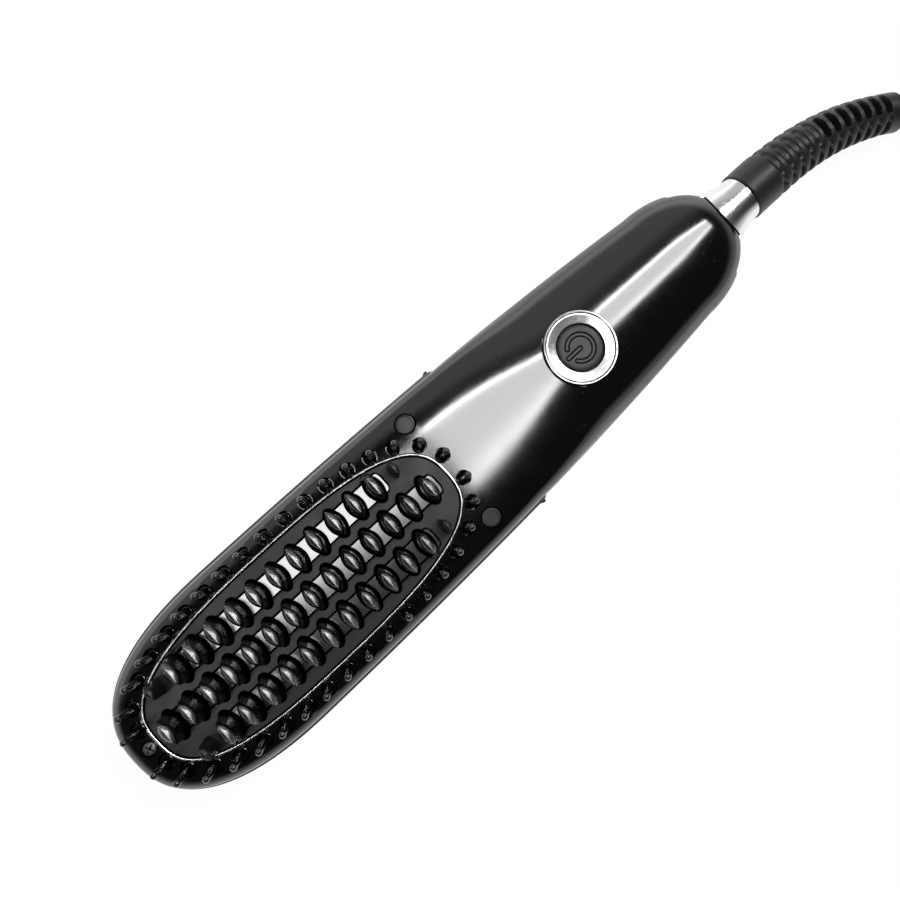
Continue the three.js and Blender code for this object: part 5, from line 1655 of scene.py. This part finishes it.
@dataclass
class Cord:
    """The mains cord: out of the boot, down to the table, into a coil, and up to its plug."""

    diameter: float = 6.2
    centre: Flat = (251.5, -17.0)
    radius: float = 26.9
    straight: float = 40.0
    straight_steps: int = 3
    steps_per_turn: int = 24
    total_steps: int = 197
    steps_before_straight: int = 2
    layers: int = 4
    pitch: float = 6.7
    lift: float = 0.15
    clear: float = 0.3
    curl_radius: float = 19.0
    curl_degrees: float = 180.0
    curl_lift: float = 33.8
    curl_rise_degrees: float = 80.0
    curl_run_in: float = 2.5
    curl_run_out: float = 3.0
    coil_run_in: float = 7.0
    first_points: int = 90
    last_points: int = 34
    boot_route: tuple[Point, ...] = (
        (117.15, 0, 14), (123.15, 0, 14), (126.65, -0.1, 14), (138, -0.8, 13.9), (148, -2.3, 13.5),
        (157, -4.6, 12.9), (165, -7.5, 12.1), (171.5, -10.4, 11.3), (176.05, -12.8, 10.66))
    tail_route: tuple[Point, ...] = (
        (176.4, -13, 10.6), (182, -16.6, 9.8), (187.5, -20.8, 8.3), (194.5, -25.8, 5.6))

    def boot_line(self, count: int) -> list[Vector]:
        """The middle line of the boot."""
        return through(self.boot_route, count)

    def loop_point(self, steps: float, radius: float) -> Flat:
        """A place on one long turn, with two straight sides and two round ends.

        Args:
            steps: Steps after the start of the lower straight side.
            radius: The radius of the round ends.

        Returns:
            The place, from the coil's centre.
        """
        half_turn = self.steps_per_turn / 2
        step = steps % self.steps_per_turn
        side = 1 if step < half_turn else -1
        on_side = step % half_turn
        half = self.straight / 2
        if on_side < self.straight_steps:
            return side * between(-half, half, on_side / self.straight_steps), -side * radius
        angle = ((on_side - self.straight_steps) / (half_turn - self.straight_steps) - 0.5) * math.pi
        return side * (half + radius * math.cos(angle)), side * radius * math.sin(angle)

    def coil_point(self, steps: float) -> Vector:
        """A point of the coil, a number of steps from its start.

        Args:
            steps: Steps from the coil's start.

        Returns:
            The point.
        """
        turns = steps / self.steps_per_turn
        n = self.total_steps / self.steps_per_turn / self.layers
        layer = min(self.layers - 1, int(turns / n))
        in_layer = turns - layer * n
        inward = in_layer if layer % 2 == 0 else n - in_layer
        climbed = sum(min(1.0, max(0.0, (turns - k * n) * 2 + 0.5)) for k in range(1, self.layers))
        x, y = self.loop_point(steps - self.steps_before_straight, self.radius - self.pitch * inward)
        height = self.lift + self.diameter / 2 + self.pitch * climbed
        return Vector((self.centre[0] + x, self.centre[1] + y, height))

    def coil_line(self) -> list[Vector]:
        """The coil, with a straight end of one diameter at both ends.

        Returns:
            The line.
        """
        points = [self.coil_point(i / 2) for i in range(2 * self.total_steps + 1)]
        first, last = (end + level(end - inner) * self.diameter
                       for end, inner in ((points[0], points[2]), (points[-1], points[-3])))
        return [first, *points, last]

    def curl(self, start: Vector, ahead: Vector) -> tuple[list[Vector], Vector]:
        """The curl over the coil's top.

        Args:
            start: The coil's end.
            ahead: The direction in which it ends.

        Returns:
            The curl's points, and the direction in which it meets the plug.
        """
        side, r = Vector((-ahead.y, ahead.x, 0)), self.curl_radius
        begin = start + ahead * (self.clear + self.curl_run_in)
        middle = begin + side * r
        points = [start + ahead * self.clear]
        for degrees in (0, 12, 30, 50, 70, 90, 108, 126, 144, 162, self.curl_degrees):
            a = math.radians(degrees)
            point = middle + ahead * (r * math.sin(a)) - side * (r * math.cos(a))
            point.z = between(begin.z, self.curl_lift, ease(degrees, 0, self.curl_rise_degrees))
            points.append(point)
        a = math.radians(self.curl_degrees)
        towards = ahead * math.cos(a) + side * math.sin(a)
        points.append(points[-1] + towards * self.curl_run_out)
        return points, towards

    def line(self) -> tuple[list[Vector], Vector, Vector]:
        """The whole cord, the plug's place and the plug's direction.

        Returns:
            The cord's line, where the plug starts and where it points.
        """
        coil = self.coil_line()
        into, out = level(coil[0] - coil[1]), level(coil[-1] - coil[-2])
        tail = [*self.tail_route, coil[0] + into * (self.clear + self.coil_run_in),
                coil[0] + into * self.clear]
        curl, towards = self.curl(coil[-1], out)
        first = through([*self.boot_route[:-1], *tail], self.first_points)
        last = through(curl, self.last_points)
        return [*first, *coil, *last], last[-1] + towards * self.clear, towards

    def build(self, line: Sequence[Vector]) -> bpy.types.Object:
        """Makes the cord as one curve along its line.

        Args:
            line: The cord's line.

        Returns:
            The piece.
        """
        curve = bpy.data.curves.new("mains_cord", "CURVE")
        curve.dimensions = "3D"
        curve.bevel_depth = self.diameter / 2 * MM
        curve.bevel_resolution = 5
        curve.use_fill_caps = True
        spline = curve.splines.new("POLY")
        spline.points.add(len(line) - 1)
        for point, place in zip(spline.points, line):
            point.co = (*(place * MM), 1.0)
        spline.use_smooth = True
        return put(added("mains_cord", curve), Body.CORD, Slot.CORD, "cord_tail", "cord_coil", "cord_end")


@dataclass
class Plug:
    """The flat two-pin mains plug."""

    length: float = 36.0
    width: float = 35.0
    thickness: float = 13.7
    neck_radius: float = 4.6
    neck_length: float = 12.0
    pin_radius: float = 2.0
    pin_length: float = 19.0
    pin_spacing: float = 18.6
    pin_sink: float = 3.7
    roundness: float = 2.2
    grip_depth: float = 0.35
    grip_end: float = 33.0
    grip_waves: float = 2.2
    neck_rib_depth: float = 0.3
    neck_waves: float = 2.6
    rings: int = 96
    sides: int = 48

    def build(self, place: Vector, towards: Vector) -> list[bpy.types.Object]:
        """Makes and dresses the plug.

        Args:
            place: Where its neck starts.
            towards: Where it points.

        Returns:
            Its pieces.
        """
        turn = Matrix.Rotation(math.atan2(towards.y, towards.x), 4, "Z")
        move = Matrix.Translation(place * MM) @ turn
        body = self.body().piece("plug_grip", 40)
        body.data.transform(move)
        pieces = [put(body, Body.CORD, Slot.CORD, "plug_body")]
        for side, word in ((1, "live"), (-1, "neutral")):
            pin = self.pin(side).piece(f"contact_{word}", 40)
            pin.data.transform(move)
            pieces.append(put(pin, Body.CORD, Slot.PLUG_PIN, f"plug_pin_{word}"))
        return pieces

    def body(self) -> Form:
        """The moulded grip.

        Returns:
            The form.
        """
        neck, end = self.neck_length, self.neck_length + self.length
        r, half, thick = self.neck_radius, self.width / 2, self.thickness / 2
        keys = [(0, 0.85 * r, 0.85 * r), (neck, r, r), (neck + 6, half * 0.44, thick),
                (neck + 20, half * 0.76, thick), (neck + 30, half, thick), (end - 1, half, thick),
                (end, half - 1, thick - 1)]
        rings = []
        for i in range(self.rings + 1):
            x = end * i / self.rings
            low = max(k for k in range(len(keys) - 1) if keys[k][0] <= x + 1e-9)
            share = (x - keys[low][0]) / (keys[low + 1][0] - keys[low][0])
            eased = share if low == len(keys) - 2 else ease(share, 0, 1)
            wide, high = (between(keys[low][k], keys[low + 1][k], eased) for k in (1, 2))
            gripped = ease(x, neck + 4, neck + 7) * (1 - ease(x, self.grip_end - 3, self.grip_end))
            grip = self.grip_depth * ripple(x * self.grip_waves) * gripped
            neck_rib = self.neck_rib_depth * ripple(x * self.neck_waves) * (1 - ease(x, neck - 2, neck))
            oval = (oval_share(angle, self.roundness) for angle in all_round(self.sides))
            rings.append([(x, (wide - grip - neck_rib) * c, (high - neck_rib) * s) for c, s in oval])
        return loft(rings)

    def pin(self, side: int) -> Form:
        """One contact pin.

        Args:
            side: 1 or -1, for the two pins.

        Returns:
            The form.
        """
        face = self.neck_length + self.length
        start, end = face - self.pin_sink, face + self.pin_length
        r = self.pin_radius
        profile = [(0, start), (r, start), (r, end - 1.5), (r * 0.95, end - 1), (r * 0.75, end - 0.4),
                   (r * 0.4, end - 0.06), (0, end)]
        form = turned(profile, 32)
        form.points = [(z, y + side * self.pin_spacing / 2, x) for x, y, z in form.points]
        return form


class HiddenWorks:
    """The CAD pieces inside the casing, which keep their shape and get a finish."""

    slots: dict[Slot, tuple[str, ...]] = {
        Slot.STEEL: ("cover_screw_left", "cover_screw_right", "comb_screw_1", "comb_screw_2", "comb_screw_3",
                     "comb_screw_4", "clamp_screw_1", "clamp_screw_2", "board_screw_1", "board_screw_2"),
        Slot.HEATER: ("heater_element",),
        Slot.FILM: ("heater_film", "temperature_sensor"),
        Slot.CLAMP: ("clamp_plate",),
        Slot.BOARD: ("control_board",),
        Slot.COMPONENT: ("tact_switch", "power_triac", "reservoir_capacitor"),
        Slot.CAPACITOR: ("film_capacitor",),
        Slot.LAMP: ("indicator_led",),
        Slot.PLUNGER: ("switch_plunger", "swivel_hub"),
        Slot.RED_LEAD: ("heater_lead_live", "supply_lead_live"),
        Slot.BLUE_LEAD: ("supply_lead_neutral",),
        Slot.WHITE_LEAD: ("heater_lead_neutral", "sensor_lead", "thermal_fuse"),
    }

    def build(self) -> None:
        """Dresses the pieces."""
        for slot, nodes in self.slots.items():
            for node in nodes:
                PAINT.paint(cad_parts[node], slot)
                LOG.info("dressed %s as %s", node, slot.value)


def put(piece: bpy.types.Object, body: Body, slot: Slot, *nodes: str) -> bpy.types.Object:
    """Finishes a piece, lets it ride on its body and stand for its CAD nodes.

    Args:
        piece: The piece.
        body: The body that it moves with.
        slot: Its finish.
        nodes: The CAD nodes that it stands for.

    Returns:
        The piece.
    """
    PAINT.paint(piece, slot)
    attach(piece, body.value)
    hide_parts(*nodes)
    LOG.info("made %s for %s", piece.name, ", ".join(nodes))
    return piece


# Studio


@dataclass
class Camera:
    """The photograph's camera."""

    place: Point = (-29.5, 1.04, 259.0)
    right: Point = (0.727714, -0.681013, 0.081575)
    down: Point = (-0.674885, -0.732176, -0.091919)
    sensor_mm: float = 36.0
    focal_share: float = 866 / 900

    def build(self) -> None:
        """Sets up the camera."""
        data = bpy.data.cameras.new("photo_camera")
        data.sensor_width = self.sensor_mm
        data.lens = self.sensor_mm * self.focal_share
        data.clip_start = 0.01
        camera = added("photo_camera", data)
        right, up = Vector(self.right).normalized(), -Vector(self.down)
        back = right.cross(up).normalized()
        up = back.cross(right)
        turn = Matrix((right, up, back)).transposed().to_4x4()
        camera.matrix_world = Matrix.Translation(Vector(self.place) * MM) @ turn
        bpy.context.scene.camera = camera


@dataclass
class Lamp:
    """A soft rectangular lamp that shines straight down."""

    name: str
    centre: Point
    size: Flat
    power: float
    turn_degrees: float = 0.0

    def build(self) -> None:
        """Hangs the lamp."""
        data = bpy.data.lights.new(self.name, "AREA")
        data.shape = "RECTANGLE"
        data.size, data.size_y = self.size
        data.energy = self.power
        aim = Vector((0.0, 0.0, -1.0)).to_track_quat("-Z", "Y").to_matrix().to_4x4()
        turn = Matrix.Rotation(math.radians(self.turn_degrees), 4, "Z")
        added(self.name, data).matrix_world = Matrix.Translation(self.centre) @ aim @ turn


@dataclass
class Studio:
    """A white table in a dim room, with soft lamps over the handle and the head."""

    floor_half: float = 3000.0
    floor_depth: float = 20.0
    paper_grey: float = 0.8
    glow: float = 1.08
    glow_share: float = 0.88

    lamps: tuple[Lamp, ...] = (
        Lamp("handle_softbox", (0.64, 0.042, 0.75), (1.12, 0.136), 3.6, 1.5),
        Lamp("handle_strip_left", (0.64, 0.1, 0.749), (1.12, 0.02), 1.2, 1.5),
        Lamp("handle_strip_right", (0.64, -0.016, 0.749), (1.12, 0.02), 0.6, 1.5),
        Lamp("head_softbox", (-0.22, 0.037, 0.75), (0.56, 0.066), 0.95),
    )

    def build(self) -> None:
        """Builds floor, sky and lamps."""
        self.floor()
        self.sky()
        for lamp in self.lamps:
            lamp.build()

    def floor(self) -> None:
        """A white floor that keeps a soft shadow."""
        reach = self.floor_half
        floor = block((-reach, -reach, -self.floor_depth), (reach, reach, 0.0)).piece("floor")
        made = bpy.data.materials.new("white_floor")
        made.use_nodes = True
        board = Board(made.node_tree)
        seen = (board.ray_is("Camera") + board.ray_is("Glossy") + board.ray_is("Transmission")).at_most(1.0)
        paper = board.node("ShaderNodeBsdfDiffuse", {}, {"Color": (*[self.paper_grey] * 3, 1.0)})
        glow = board.node("ShaderNodeEmission", {}, {"Color": (1.0, 1.0, 1.0, 1.0), "Strength": self.glow})
        mixed = board.node("ShaderNodeMixShader", {}, {0: seen * self.glow_share, 1: paper, 2: glow})
        board.finish("ShaderNodeOutputMaterial", mixed)
        floor.data.materials.append(made)

    def sky(self) -> None:
        """A white backdrop for the eye, and a dim room for the rest."""
        world = bpy.data.worlds.new("room")
        bpy.context.scene.world = world
        world.use_nodes = True
        board = Board(world.node_tree)
        eye = board.ray_is("Camera")
        ray = board.node("ShaderNodeTexCoord", output="Generated")
        along, across, height = (board.axis(ray, axis) for axis in "XYZ")
        horizon = 1.0 - height.ramp(0.12, 0.42)  # bright near the table, dark overhead
        side = (across + along.ramp(-0.1, 0.25) * 0.28).ramp(0.4, 0.72)
        room = horizon * (across.ramp(-0.3, 0.3) * 0.3 + 0.55) + side * 0.5 + 0.02
        strength = eye + (1.0 - eye) * room
        board.finish("ShaderNodeOutputWorld", board.node("ShaderNodeBackground", {}, {
            "Color": (1.0, 1.0, 1.0, 1.0), "Strength": strength}))


def main() -> None:
    """Builds the scene, sub-assembly by sub-assembly."""
    logging.basicConfig(level=logging.INFO, format="%(message)s")
    bpy.context.scene.view_settings.view_transform = "Standard"
    Camera().build()
    cord = Cord()
    line, plug_place, plug_towards = cord.line()
    lead = cord.build(line)
    boot = Tail().build(cord)
    plug = Plug().build(plug_place, plug_towards)
    face = BristleFace()
    Casing().build(face.places())
    face.build()
    PowerSwitch().build()
    HiddenWorks().build()
    Studio().build()


if __name__ == "__main__":
    main()
